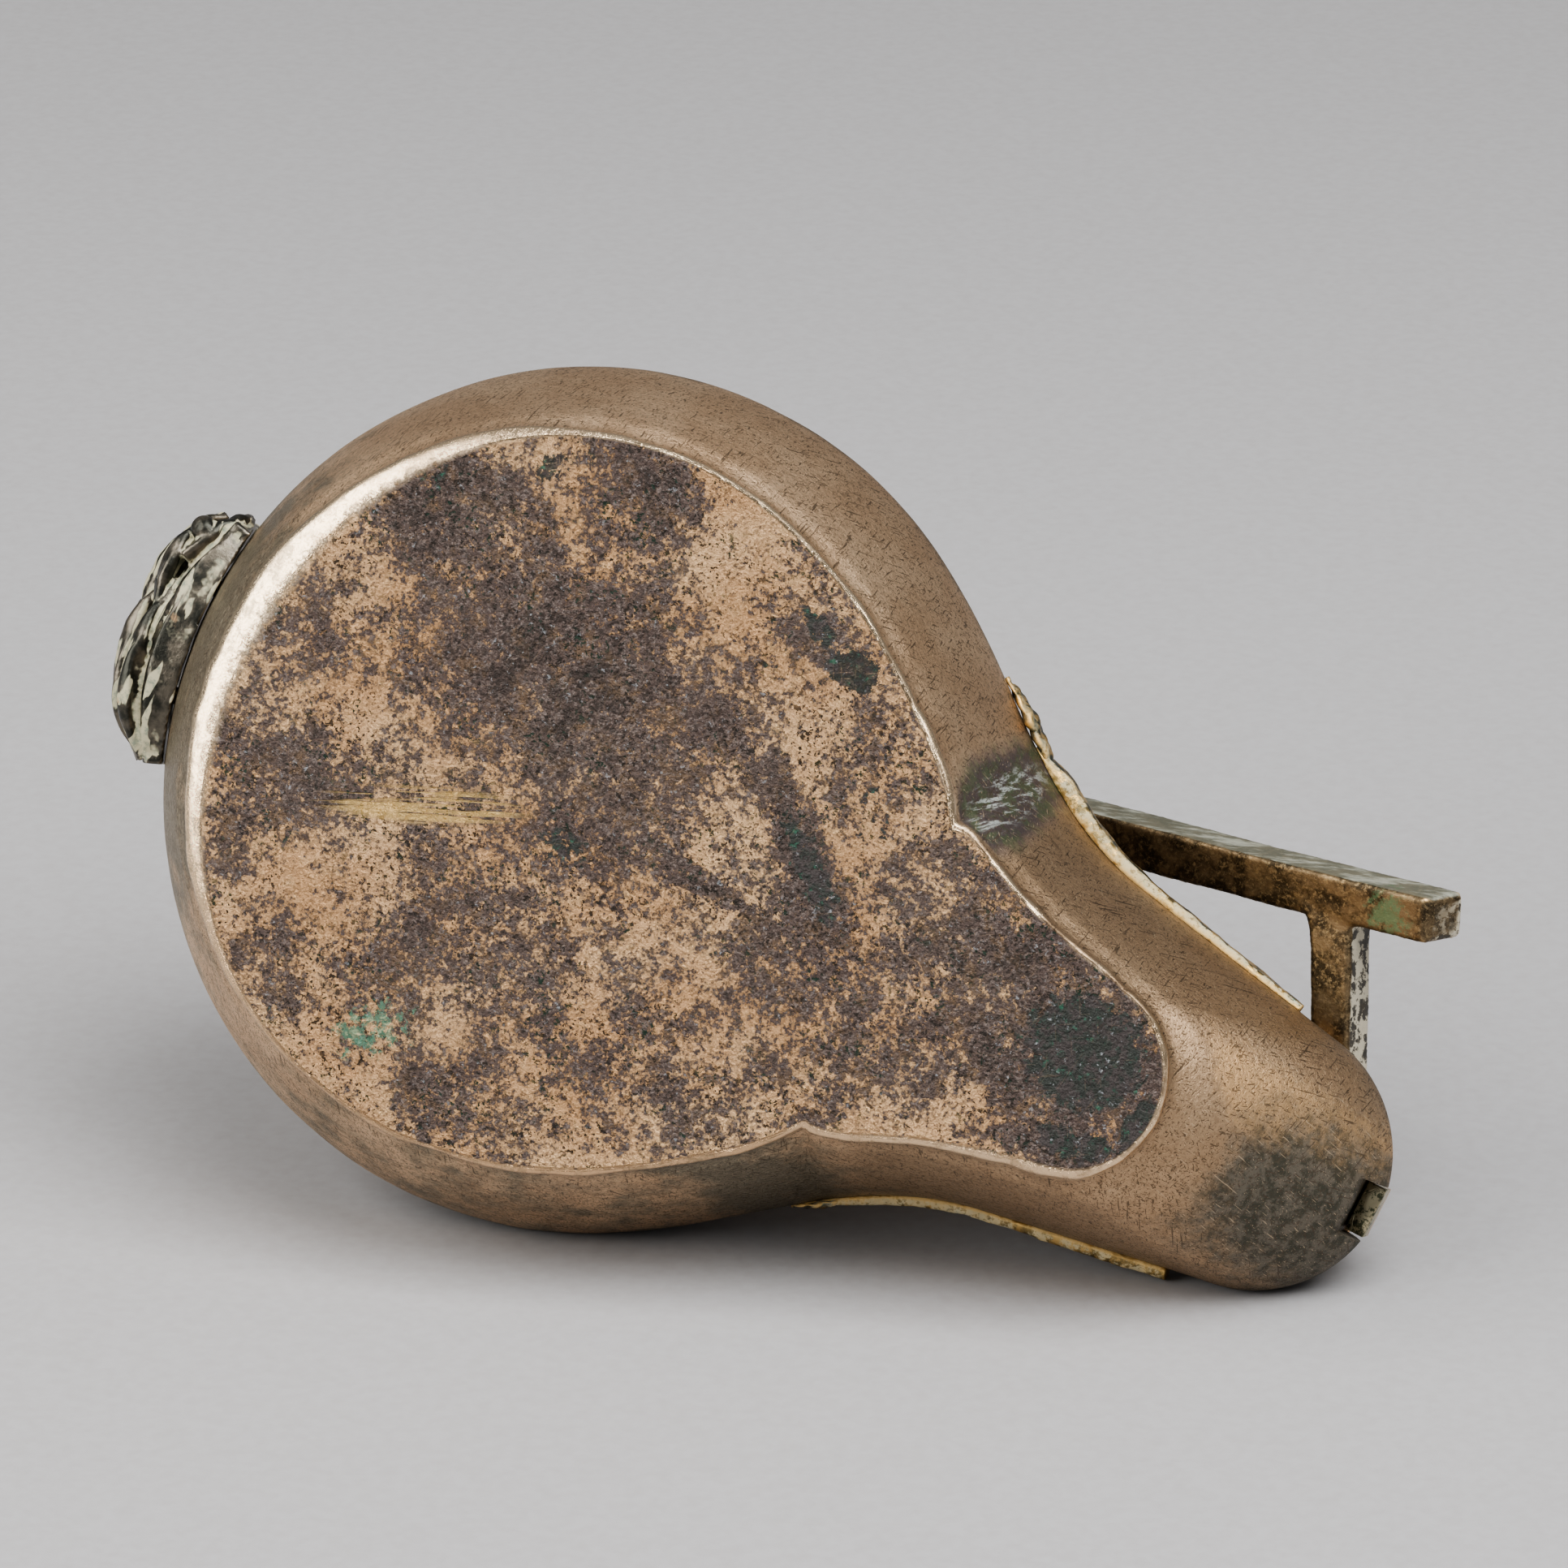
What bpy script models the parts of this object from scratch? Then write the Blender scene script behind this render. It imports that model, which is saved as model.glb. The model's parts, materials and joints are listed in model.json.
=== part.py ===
"""Lamp-form inkwell: a cast bronze reservoir with a tapering nozzle, a riveted deck, a lift-out
glazed pot and a domed lid that an arm lifts. Run: blender --background --python part.py

Frame: +Z up, +X towards the nozzle, origin at the middle of the foot's round part, on the foot's
flat face. Lengths below are in millimetres and are scaled to metres by MM where they are used.
"""
import bmesh
import bpy
from math import cos, hypot, pi, radians, sin, sqrt
from mathutils import Matrix, Vector

MM = 0.001
GAP = 0.3                      # clearance kept between touching pieces

# Keyhole outlines: round part, then the two circles of the tapering neck, and the waist's blend
FOOT = {"round": 36.2, "neck_x": 16.5, "neck_r": 19.7, "tip_x": 58.0, "tip_r": 10.2, "blend": 17.4}
RIM = {"round": 43.1, "neck_x": 20.1, "neck_r": 23.4, "tip_x": 75.5, "tip_r": 13.6, "blend": 14.2}
BODY_STEPS = 20                # outline stations round half of the reservoir
NECK_STEPS = 9                 # along one side of the neck
TIP_STEPS = 9                  # round half of the tip
WAIST_ANGLE = radians(52)      # where the reservoir's stations end and the neck's begin

# Bowl
FOOT_EDGE = 0.9                # rounded edge of the foot
RIM_Z = 20.0                   # height where the bowl is widest
FLARE_POWER = 1.4              # how early the wall flares
BOWL_TOP = 23.3
SHOULDER_IN = 2.8              # how far the shoulder rounds in
LAND = 1.4                     # flat land that carries the deck
WALL = 2.2
FLOOR_Z = 2.4
NOTCH = (2.6, 6.0, 7.2)        # depth, width and height of the notch in the nozzle's tip
BOSS_R = 2.8
BOSS_Z = 13.0
SHANK_R = 1.0                  # deck screws and bracket rivets
SHANK_HOLE_R = SHANK_R + GAP
RIVET_R = 0.9                  # rivets of the leaf and the knuckle
RIVET_HOLE_R = RIVET_R + GAP
SCREW_SPOTS = [(-27.0, 27.0), (-27.0, -27.0), (53.0, 13.2), (53.0, -13.2)]

# Deck
DECK_IN = 1.7
DECK_T = 1.4
DECK_Z = BOWL_TOP + GAP
DECK_TOP = DECK_Z + DECK_T
WELL_R = 22.4
PEN_X = 67.0
PEN_R = 6.4
LUG_HALF = 2.6                 # half width of the deck lug that drops into the notch
LUG_IN = (2.3, 0.2)            # its inner and outer faces, in from the tip
LUG_DROP = 3.0                 # how far it hangs below the deck

# Well collar, washer and pot
COLLAR_BORE = 22.0
COLLAR_R = 26.0
COLLAR_FLANGE_R = 29.4
COLLAR_FLANGE_T = 1.3
COLLAR_TOP = 27.9
WASHER_R = (22.3, 25.4)        # inner and outer radius
WASHER_T = 0.8
POT_R = 21.3
POT_FLANGE_R = 25.0
POT_FLANGE_T = 1.5
POT_FLOOR_Z = 9.0
POT_WALL = 2.4

# Lid
LID_R = 33.0
LID_WALL = 2.0
LID_SPRING_Z = 28.0            # height where the dome starts to curve in
LID_CROWN_Z = 50.0
LID_POWER = 2.4                # fullness of the dome's curve
STUD_R = 1.7

# Lid arm: centre line of the square bar, from the crown's eye to the free end
ARM_W = 4.7
ARM_CHAMFER = 0.55
ARM_EYE_R = 5.2
ARM_EYE_T = 5.0
ARM_PATH = [(3.5, -1.7, 52.8), (12.0, -6.3, 52.4), (24.6, -12.9, 47.4), (34.9, -16.8, 41.6),
            (43.2, -19.4, 37.6), (63.7, -24.3, 29.5), (81.2, -28.7, 22.0)]
ARM_ROLL = radians(-18)        # roll of the bar's section about its own length
END_TILT = 0.3                 # slope of the free end's face
BRANCH_ROOT = (70.2, -26.8, 26.8)
BRANCH_FOOT = (81.9, -3.0, 28.6)
BRANCH_SIZE = (4.6, 4.6)
BRANCH_ROLL = radians(-20)

# Hinge
PIN_X = -37.4
PIN_Z = 28.8
PIN_R = 1.0
PIN_HALF = 7.9
KNUCKLE_R = 2.0
KNUCKLE_HALF = 4.2
EAR_IN = 4.6
EAR_T = 2.8
EAR_R = 2.5
BRACKET_X = (-39.2, -34.4)
BRACKET_HALF = 12.8
BRACKET_T = 1.2
BRACKET_RIVET = (-35.8, 10.7)  # x, and y to either side
STRAP_T = 1.25                 # thickness of the knuckle's strap up the dome
STRAP_RIVET_Z = 36.0
STRAP_RIVET_Y = 2.3

# Rear leaf
LEAF_FROM = radians(157)
LEAF_TO = radians(192)
LEAF_Z = (12.5, 27.0)
LEAF_OUT = 5.4                 # how far the leaf stands proud of the wall
LEAF_RIVET_Z = 18.5

# Neck borders and waist scrolls
BORDER_X = (41.0, 73.0)
BORDER_Z = (19.9, 22.9)
BORDER_PROUD = {1: (0.7, 1.1), -1: (1.8, 0.5)}           # by side: at the waist, at the front end
SCROLL_ARC = {1: (radians(34.5), radians(29.5)), -1: (radians(42), radians(32))}
SCROLL_PROUD = {1: 1.1, -1: 2.1}

COLLECTION = "inkwell"
SMOOTH_ANGLE = radians(35)


# ---------------------------------------------------------------- scene and materials
def clear_scene():
    for obj in list(bpy.data.objects):
        bpy.data.objects.remove(obj, do_unlink=True)


def collection(name):
    found = bpy.data.collections.get(name) or bpy.data.collections.new(name)
    if name not in bpy.context.scene.collection.children:
        bpy.context.scene.collection.children.link(found)
    return found


def material(name, color, roughness, metallic=1.0):
    made = bpy.data.materials.get(name)
    if made is None:
        made = bpy.data.materials.new(name)
        made.use_nodes = True
        shader = made.node_tree.nodes["Principled BSDF"]
        shader.inputs["Base Color"].default_value = (*color, 1.0)
        shader.inputs["Roughness"].default_value = roughness
        shader.inputs["Metallic"].default_value = metallic
    return made


def materials():
    return {
        "bronze": material("bronze", (0.36, 0.24, 0.14), 0.38),
        "bronze_trim": material("bronze_trim", (0.55, 0.47, 0.33), 0.55),
        "leaf_bronze": material("leaf_bronze", (0.14, 0.13, 0.11), 0.5),
        "arm_bronze": material("arm_bronze", (0.26, 0.19, 0.11), 0.45),
        "fastener": material("fastener", (0.45, 0.32, 0.17), 0.35),
        "glazed_white": material("glazed_white", (0.82, 0.81, 0.76), 0.15, 0.0),
        "leather": material("leather", (0.16, 0.09, 0.05), 0.8, 0.0),
    }


# ---------------------------------------------------------------- making solids
def finish_mesh(bm, name, finish, parent=None):
    """Turns a bmesh in millimetres into a named object in metres."""
    bmesh.ops.scale(bm, vec=(MM, MM, MM), verts=bm.verts)
    bmesh.ops.recalc_face_normals(bm, faces=bm.faces)
    mesh = bpy.data.meshes.new(name)
    bm.to_mesh(mesh)
    bm.free()
    mesh.shade_smooth()
    mesh.set_sharp_from_angle(angle=SMOOTH_ANGLE)
    obj = bpy.data.objects.new(name, mesh)
    if finish is None:
        collection("cutters").objects.link(obj)
        obj.hide_render = True
        obj.display_type = "WIRE"
    else:
        collection(COLLECTION).objects.link(obj)
        mesh.materials.append(finish)
    if parent is not None:
        obj.parent = parent
        obj.matrix_parent_inverse = parent.matrix_world.inverted()
    return obj


def loft(rings, name, finish, parent=None):
    """A solid through rings of equal point counts, capped at both ends."""
    bm = bmesh.new()
    rows = [[bm.verts.new(p) for p in ring] for ring in rings]
    count = len(rings[0])
    for low, high in zip(rows, rows[1:]):
        for j in range(count):
            k = (j + 1) % count
            bm.faces.new((low[j], low[k], high[k], high[j]))
    bm.faces.new(rows[0][::-1])
    bm.faces.new(rows[-1])
    return finish_mesh(bm, name, finish, parent)


def turned(profile, name, finish, steps=48, closed=False, parent=None):
    """A turned piece: the profile at +X, top to bottom down its outer side, round the Z axis."""
    mesh = bpy.data.meshes.new(name)
    verts = [(r * MM, 0.0, z * MM) for r, z in profile]
    edges = [(i, i + 1) for i in range(len(verts) - 1)]
    if closed:
        edges.append((len(verts) - 1, 0))
    mesh.from_pydata(verts, edges, [])
    obj = bpy.data.objects.new(name, mesh)
    collection(COLLECTION).objects.link(obj)
    mesh.materials.append(finish)
    screw = obj.modifiers.new("turn", "SCREW")
    screw.axis = "Z"
    screw.steps = steps
    screw.render_steps = steps
    screw.use_merge_vertices = True
    screw.merge_threshold = 0.00001
    screw.use_smooth_shade = True
    if parent is not None:
        obj.parent = parent
        obj.matrix_parent_inverse = parent.matrix_world.inverted()
    return obj


def cylinder(name, finish, radius, start, end, sides=24, parent=None):
    """A cylinder between two points."""
    start = Vector(start)
    end = Vector(end)
    axis = end - start
    turn = axis.to_track_quat("Z", "Y").to_matrix().to_4x4()
    bm = bmesh.new()
    bmesh.ops.create_cone(bm, cap_ends=True, segments=sides, radius1=radius, radius2=radius,
                          depth=axis.length, matrix=Matrix.Translation((start + end) / 2) @ turn)
    return finish_mesh(bm, name, finish, parent)


def block(name, finish, low, high, bevel=0.0, parent=None):
    """A box between two corners, with rounded edges if bevel is given."""
    low = Vector(low)
    high = Vector(high)
    size = high - low
    bm = bmesh.new()
    bmesh.ops.create_cube(bm, size=1.0)
    bmesh.ops.scale(bm, vec=size, verts=bm.verts)
    bmesh.ops.translate(bm, vec=(low + high) / 2, verts=bm.verts)
    if bevel:
        bmesh.ops.bevel(bm, geom=list(bm.edges), offset=bevel, segments=2, affect="EDGES",
                        profile=0.5)
    return finish_mesh(bm, name, finish, parent)


def combine(obj, tool, operation):
    """A Boolean of obj with a tool from the cutters collection."""
    cut = obj.modifiers.new(operation.lower(), "BOOLEAN")
    cut.operation = operation
    cut.solver = "EXACT"
    cut.object = tool
    return obj


# ---------------------------------------------------------------- the keyhole outline
def between(a, b, t):
    """The outline a share t of the way from outline a to outline b."""
    return {key: a[key] + (b[key] - a[key]) * t for key in a}


def outline_distance(x, y, shape):
    """Signed distance to a keyhole: a circle blended with a capsule that tapers to the tip."""
    circle = hypot(x, y) - shape["round"]
    length = shape["tip_x"] - shape["neck_x"]
    slope = (shape["neck_r"] - shape["tip_r"]) / length
    rise = sqrt(1 - slope * slope)
    along = x - shape["neck_x"]
    side = abs(y)
    where = along * rise - side * slope
    if where < 0:
        capsule = hypot(side, along) - shape["neck_r"]
    elif where > rise * length:
        capsule = hypot(side, along - length) - shape["tip_r"]
    else:
        capsule = side * rise + along * slope - shape["neck_r"]
    blend = max(shape["blend"] - abs(circle - capsule), 0) / shape["blend"]
    return min(circle, capsule) - blend * blend * shape["blend"] / 4


def stations():
    """The rays that meet one side of an outline: a start on the long axis, as a share of the
    way to the tip's centre, and an angle. They run from the rear round to the tip."""
    rays = []
    for i in range(BODY_STEPS):
        rays.append((0.0, pi + (WAIST_ANGLE - pi) * i / BODY_STEPS))
    flank = radians(79)
    for i in range(NECK_STEPS):
        share = i / NECK_STEPS
        rays.append((share, WAIST_ANGLE + (flank - WAIST_ANGLE) * share ** 0.5))
    for i in range(TIP_STEPS + 1):
        rays.append((1.0, flank * (1 - i / TIP_STEPS)))
    return rays


def outline_point(shape, ray, inset=0.0):
    """Where a station's ray meets the outline, inset by that much."""
    share, angle = ray
    start = share * shape["tip_x"]
    near = 0.0
    far = 60.0
    for _ in range(40):
        middle = (near + far) / 2
        x = start + middle * cos(angle)
        y = middle * sin(angle)
        if outline_distance(x, y, shape) < -inset:
            near = middle
        else:
            far = middle
    return start + near * cos(angle), near * sin(angle)


def outline_ring(shape, z, inset=0.0):
    """A closed ring of points at height z, counter-clockwise from the tip."""
    upper = [outline_point(shape, ray, inset) for ray in stations()]
    upper.reverse()
    lower = [(x, -y) for x, y in upper[1:-1]]
    lower.reverse()
    return [(x, y, z) for x, y in upper + lower]


def wall_share(z):
    """How far the wall has flared at height z: 0 at the foot, 1 at the rim."""
    height = min(max((z - FOOT_EDGE) / (RIM_Z - FOOT_EDGE), 0.0), 1.0)
    return 1 - (1 - height) ** FLARE_POWER


def wall_shape(z):
    return between(FOOT, RIM, wall_share(z))


def wall_radius(z):
    """The reservoir's outer radius at height z, shoulder included."""
    radius = wall_shape(z)["round"]
    if z > RIM_Z:
        radius -= shoulder_inset(z)
    return radius


def shoulder_inset(z):
    share = min((z - RIM_Z) / (BOWL_TOP - RIM_Z), 1.0)
    return SHOULDER_IN * (1 - sqrt(1 - share * share * 0.97))


# ---------------------------------------------------------------- bowl and its trim
def make_bowl(mats):
    rings = []
    for i in range(3):
        angle = radians(90) * i / 3
        inset = FOOT_EDGE * (1 - sin(angle))
        rings.append(outline_ring(FOOT, FOOT_EDGE * (1 - cos(angle)), inset))
    for i in range(7):
        z = FOOT_EDGE + (RIM_Z - FOOT_EDGE) * i / 6
        rings.append(outline_ring(wall_shape(z), z))
    for i in range(1, 5):
        z = RIM_Z + (BOWL_TOP - RIM_Z) * sin(radians(90) * i / 4)
        rings.append(outline_ring(RIM, z, shoulder_inset(z)))
    land_inset = shoulder_inset(BOWL_TOP) + LAND
    rings.append(outline_ring(RIM, BOWL_TOP, land_inset))
    for z in (RIM_Z, 14.0, 8.0, 4.2):
        inset = land_inset if z >= RIM_Z else WALL
        rings.append(outline_ring(wall_shape(z), z, inset))
    rings.append(outline_ring(wall_shape(FLOOR_Z), FLOOR_Z, WALL + 1.6))
    bowl = loft(rings, "bowl", mats["bronze"])
    for i, (x, y) in enumerate(SCREW_SPOTS):
        boss = cylinder(f"boss_{i}", None, BOSS_R, (x, y, BOSS_Z), (x, y, BOWL_TOP - 0.2), 16)
        combine(bowl, boss, "UNION")
    for i, (x, y) in enumerate(SCREW_SPOTS):
        hole = cylinder(f"boss_hole_{i}", None, SHANK_HOLE_R, (x, y, BOSS_Z + 2), (x, y, BOWL_TOP + 2), 16)
        combine(bowl, hole, "DIFFERENCE")
    tip = RIM["tip_x"] + RIM["tip_r"]
    depth, width, height = NOTCH
    notch = block("notch", None, (tip - depth, -width / 2, BOWL_TOP - height),
                  (tip + 4, width / 2, BOWL_TOP + 2))
    combine(bowl, notch, "DIFFERENCE")
    for i, angle in enumerate(leaf_rivet_angles()):
        combine(bowl, rivet_hole(f"leaf_hole_{i}", angle), "DIFFERENCE")
    return bowl


def border_rays():
    """The stations that a neck border follows, from the waist to just short of the tip."""
    low, high = BORDER_X
    return [ray for ray in stations() if low < outline_point(RIM, ray)[0] < high]


def make_border(side, mats):
    """A proud strip along one side of the neck, widest at the waist, with a square front end."""
    rays = border_rays()
    rings = []
    for i, ray in enumerate(rays):
        share = i / (len(rays) - 1)
        proud = BORDER_PROUD[side][0] * (1 - share) + BORDER_PROUD[side][1] * share
        ring = []
        low, high = BORDER_Z
        face = -GAP - proud
        for inset, z in ((-GAP, low), (face, low + 0.4), (face, high - 0.3), (-GAP, high)):
            x, y = outline_point(RIM, ray, inset)
            ring.append((x, y * side, z))
        rings.append(ring)
    name = "border_left" if side > 0 else "border_right"
    return loft(rings, name, mats["bronze_trim"])


def make_scroll(side, mats):
    """A small layered scroll where neck and reservoir meet, just behind the border's end."""
    rings = []
    steps = 9
    for i in range(steps):
        share = i / (steps - 1)
        angle = SCROLL_ARC[side][0] * (1 - share) + SCROLL_ARC[side][1] * share
        swell = sin(pi * min(max(share, 0.06), 0.94))
        proud = SCROLL_PROUD[side] * (0.3 + 0.7 * swell)
        ring = []
        for out, z in ((GAP, 21.4 - 3.4 * swell), (GAP + proud, 21.2 - 2.2 * swell),
                       (GAP + proud, 21.8 + 1.2 * swell), (GAP, 22.0 + 1.6 * swell)):
            ring.append((*waist_point(angle, out, side), z))
        rings.append(ring)
    name = "scroll_left" if side > 0 else "scroll_right"
    return loft(rings, name, mats["bronze_trim"])


def waist_point(angle, out, side):
    x, y = outline_point(RIM, (0.0, angle), -out)
    return x, y * side


def leaf_rivet_angles():
    middle = (LEAF_FROM + LEAF_TO) / 2
    spread = (LEAF_TO - LEAF_FROM) * 0.22
    return [middle - spread, middle + spread]


def rivet_hole(name, angle):
    inner = wall_radius(LEAF_RIVET_Z) - 6
    outer = wall_radius(LEAF_RIVET_Z) + 3
    way = Vector((cos(angle), sin(angle), 0))
    lift = Vector((0, 0, LEAF_RIVET_Z))
    return cylinder(name, None, RIVET_HOLE_R, way * inner + lift, way * outer + lift, 12)


def make_rear_leaf(mats):
    """A curled leaf that lies against the rear wall and rises above the rim."""
    rings = []
    steps = 13
    low, high = LEAF_Z
    for i in range(steps):
        share = i / (steps - 1)
        angle = LEAF_FROM + (LEAF_TO - LEAF_FROM) * share
        swell = sin(pi * min(max(share, 0.03), 0.97)) ** 0.45
        bottom = low + 4.0 * (1 - swell)
        top = high - 3.2 * (1 - swell)
        out = LEAF_OUT * (0.3 + 0.7 * swell)
        ring = []
        heights = [bottom + (top - bottom) * k / 6 for k in range(7)]
        for z in heights:
            ring.append((wall_radius(min(z, RIM_Z)) + GAP, z))
        for z in reversed(heights):
            belly = sin(pi * (0.12 + 0.76 * (z - bottom) / (top - bottom)))
            ring.append((wall_radius(RIM_Z) + GAP + out * belly, z))
        rings.append([(r * cos(angle), r * sin(angle), z) for r, z in ring])
    leaf = loft(rings, "rear_leaf", mats["leaf_bronze"])
    for i, angle in enumerate(leaf_rivet_angles()):
        combine(leaf, rivet_hole(f"leaf_blind_{i}", angle), "DIFFERENCE")
    return leaf


def make_leaf_rivets(mats):
    """Rivets from inside the bowl, through its rear wall, into the leaf."""
    for i, angle in enumerate(leaf_rivet_angles()):
        head = wall_radius(LEAF_RIVET_Z) - WALL - 3.2
        end = wall_radius(LEAF_RIVET_Z) + 2.4
        profile = [(0, end), (RIVET_R, end), (RIVET_R, head + 1.0), (1.9, head + 1.0),
                   (1.6, head + 0.3), (0, head)]
        rivet = turned(profile, f"leaf_rivet_{i + 1}", mats["fastener"], 12)
        way = Vector((cos(angle), sin(angle), 0))
        rivet.rotation_mode = "QUATERNION"
        rivet.rotation_quaternion = way.to_track_quat("Z", "Y")
        rivet.location = (0, 0, LEAF_RIVET_Z * MM)


# ---------------------------------------------------------------- deck and what sits in it
def make_deck(mats):
    rings = [outline_ring(RIM, DECK_Z, DECK_IN), outline_ring(RIM, DECK_TOP - 0.3, DECK_IN),
             outline_ring(RIM, DECK_TOP, DECK_IN + 0.4)]
    deck = loft(rings, "deck_plate", mats["bronze"])
    tip = RIM["tip_x"] + RIM["tip_r"]
    lug = block("deck_lug", None, (tip - LUG_IN[0], -LUG_HALF, DECK_Z - LUG_DROP),
                (tip - LUG_IN[1], LUG_HALF, DECK_Z + 0.5))
    combine(deck, lug, "UNION")
    well = cylinder("well_hole", None, WELL_R, (0, 0, DECK_Z - 3), (0, 0, DECK_TOP + 3), 48)
    combine(deck, well, "DIFFERENCE")
    pen = cylinder("pen_hole", None, PEN_R, (PEN_X, 0, DECK_Z - 3), (PEN_X, 0, DECK_TOP + 3), 24)
    combine(deck, pen, "DIFFERENCE")
    spots = SCREW_SPOTS + bracket_rivet_spots()
    for i, (x, y) in enumerate(spots):
        hole = cylinder(f"deck_hole_{i}", None, SHANK_HOLE_R, (x, y, DECK_Z - 3), (x, y, DECK_TOP + 3), 16)
        combine(deck, hole, "DIFFERENCE")
    return deck


def make_deck_screws(mats):
    base = DECK_TOP + GAP
    for i, (x, y) in enumerate(SCREW_SPOTS):
        profile = [(0, base + 1.1), (1.2, base + 0.95), (2.0, base + 0.4), (2.1, base), (SHANK_R, base),
                   (SHANK_R, BOSS_Z + 2.5), (0, BOSS_Z + 2.5)]
        screw = turned(profile, f"deck_screw_{i + 1}", mats["fastener"], 16)
        screw.location = (x * MM, y * MM, 0)


def make_collar(mats):
    base = DECK_TOP + GAP
    shelf = base + COLLAR_FLANGE_T
    profile = [(COLLAR_BORE, COLLAR_TOP), (COLLAR_R - 0.5, COLLAR_TOP), (COLLAR_R, COLLAR_TOP - 0.5),
               (COLLAR_R, shelf), (COLLAR_FLANGE_R - 0.4, shelf), (COLLAR_FLANGE_R, shelf - 0.4),
               (COLLAR_FLANGE_R, base), (COLLAR_BORE, base)]
    return turned(profile, "well_collar", mats["bronze"], 48, closed=True)


def make_washer(mats):
    low = COLLAR_TOP + GAP
    high = low + WASHER_T
    inner, outer = WASHER_R
    profile = [(inner, high), (outer, high), (outer, low), (inner, low)]
    return turned(profile, "pot_washer", mats["leather"], 48, closed=True)


def make_pot(mats, parent):
    """The glazed pot: a straight cup with a flange that hangs on the washer."""
    seat = COLLAR_TOP + 2 * GAP + WASHER_T
    inner = POT_R - POT_WALL
    profile = [(inner, seat + 1.5), (inner + 0.5, seat + 2.6), (inner + 1.3, seat + 2.6),
               (inner + 1.9, seat + POT_FLANGE_T), (POT_FLANGE_R - 0.6, seat + POT_FLANGE_T),
               (POT_FLANGE_R, seat + POT_FLANGE_T - 0.6), (POT_FLANGE_R, seat), (POT_R, seat),
               (POT_R, POT_FLOOR_Z + 3), (POT_R - 1.2, POT_FLOOR_Z + 0.8), (POT_R - 3.5, POT_FLOOR_Z),
               (0, POT_FLOOR_Z)]
    floor = POT_FLOOR_Z + POT_WALL
    profile = [(0, floor), (inner - 3, floor), (inner - 0.8, floor + 0.9), (inner, floor + 3)] + profile
    return turned(profile, "ink_pot", mats["glazed_white"], 40, parent=parent)


def make_pen_ring(mats):
    """The turned ring that lines the pen hole in the nozzle."""
    base = DECK_TOP + GAP
    profile = [(4.7, base + 1.2), (5.4, base + 1.8), (6.6, base + 1.5), (7.8, base + 0.5), (8.0, base),
               (6.0, base), (6.0, DECK_Z - 2.4), (4.7, DECK_Z - 2.4)]
    ring = turned(profile, "pen_ring", mats["bronze_trim"], 32, closed=True)
    ring.location = (PEN_X * MM, 0, 0)
    return ring


# ---------------------------------------------------------------- hinge
def bracket_rivet_spots():
    x, y = BRACKET_RIVET
    return [(x, y), (x, -y)]


def make_hinge_bracket(mats):
    base = DECK_TOP + GAP
    rear, front = BRACKET_X
    bracket = block("hinge_bracket", mats["bronze"], (rear, -BRACKET_HALF, base),
                    (front, BRACKET_HALF, base + BRACKET_T), 0.3)
    for side in (1, -1):
        near = EAR_IN * side
        far = (EAR_IN + EAR_T) * side
        low = min(near, far)
        high = max(near, far)
        foot = block(f"ear_foot_{side}", None, (PIN_X - 2.0, low, base + 0.5),
                     (PIN_X + 2.0, high, PIN_Z))
        combine(bracket, foot, "UNION")
        ear = cylinder(f"ear_{side}", None, EAR_R, (PIN_X, low + 0.02, PIN_Z),
                       (PIN_X, high - 0.02, PIN_Z), 24)
        combine(bracket, ear, "UNION")
    bore = cylinder("bracket_bore", None, PIN_R + GAP, (PIN_X, -14, PIN_Z), (PIN_X, 14, PIN_Z), 20)
    combine(bracket, bore, "DIFFERENCE")
    for i, (x, y) in enumerate(bracket_rivet_spots()):
        hole = cylinder(f"bracket_hole_{i}", None, SHANK_HOLE_R, (x, y, base - 3), (x, y, base + 4), 16)
        combine(bracket, hole, "DIFFERENCE")
    return bracket


def make_bracket_rivets(mats):
    top = DECK_TOP + GAP + BRACKET_T + GAP
    under = DECK_Z - GAP
    for i, (x, y) in enumerate(bracket_rivet_spots()):
        profile = [(0, top + 1.0), (1.0, top + 0.8), (1.7, top), (SHANK_R, top), (SHANK_R, under),
                   (1.7, under), (1.0, under - 0.7), (0, under - 0.8)]
        rivet = turned(profile, f"bracket_rivet_{i + 1}", mats["fastener"], 16)
        rivet.location = (x * MM, y * MM, 0)


def make_hinge_pin(mats):
    """A pin along Y through the bracket's ears and the lid's knuckle, peened at both ends."""
    head = PIN_R + 0.8
    neck = PIN_HALF - 0.2
    profile = [(0, PIN_HALF + 0.7), (head * 0.7, PIN_HALF + 0.5), (head, neck), (PIN_R, neck),
               (PIN_R, -neck), (head, -neck), (head * 0.7, -PIN_HALF - 0.5), (0, -PIN_HALF - 0.7)]
    pin = turned(profile, "hinge_pin", mats["fastener"], 20)
    pin.rotation_euler = (radians(90), 0, 0)
    pin.location = (PIN_X * MM, 0, PIN_Z * MM)
    return pin


# ---------------------------------------------------------------- lid
def dome_radius(z):
    """The dome's outer radius at height z."""
    height = max(z - LID_SPRING_Z, 0.0) / (LID_CROWN_Z - LID_SPRING_Z)
    return LID_R * (1 - min(height, 1.0) ** LID_POWER) ** (1 / LID_POWER)


def dome_profile(outset, steps):
    """Points from the crown down to the springing line."""
    points = []
    for i in range(steps + 1):
        angle = radians(90) * (1 - i / steps)
        r = (LID_R + outset) * cos(angle) ** (2 / LID_POWER)
        z = LID_SPRING_Z + (LID_CROWN_Z + outset - LID_SPRING_Z) * sin(angle) ** (2 / LID_POWER)
        points.append((r, z))
    return points


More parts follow.
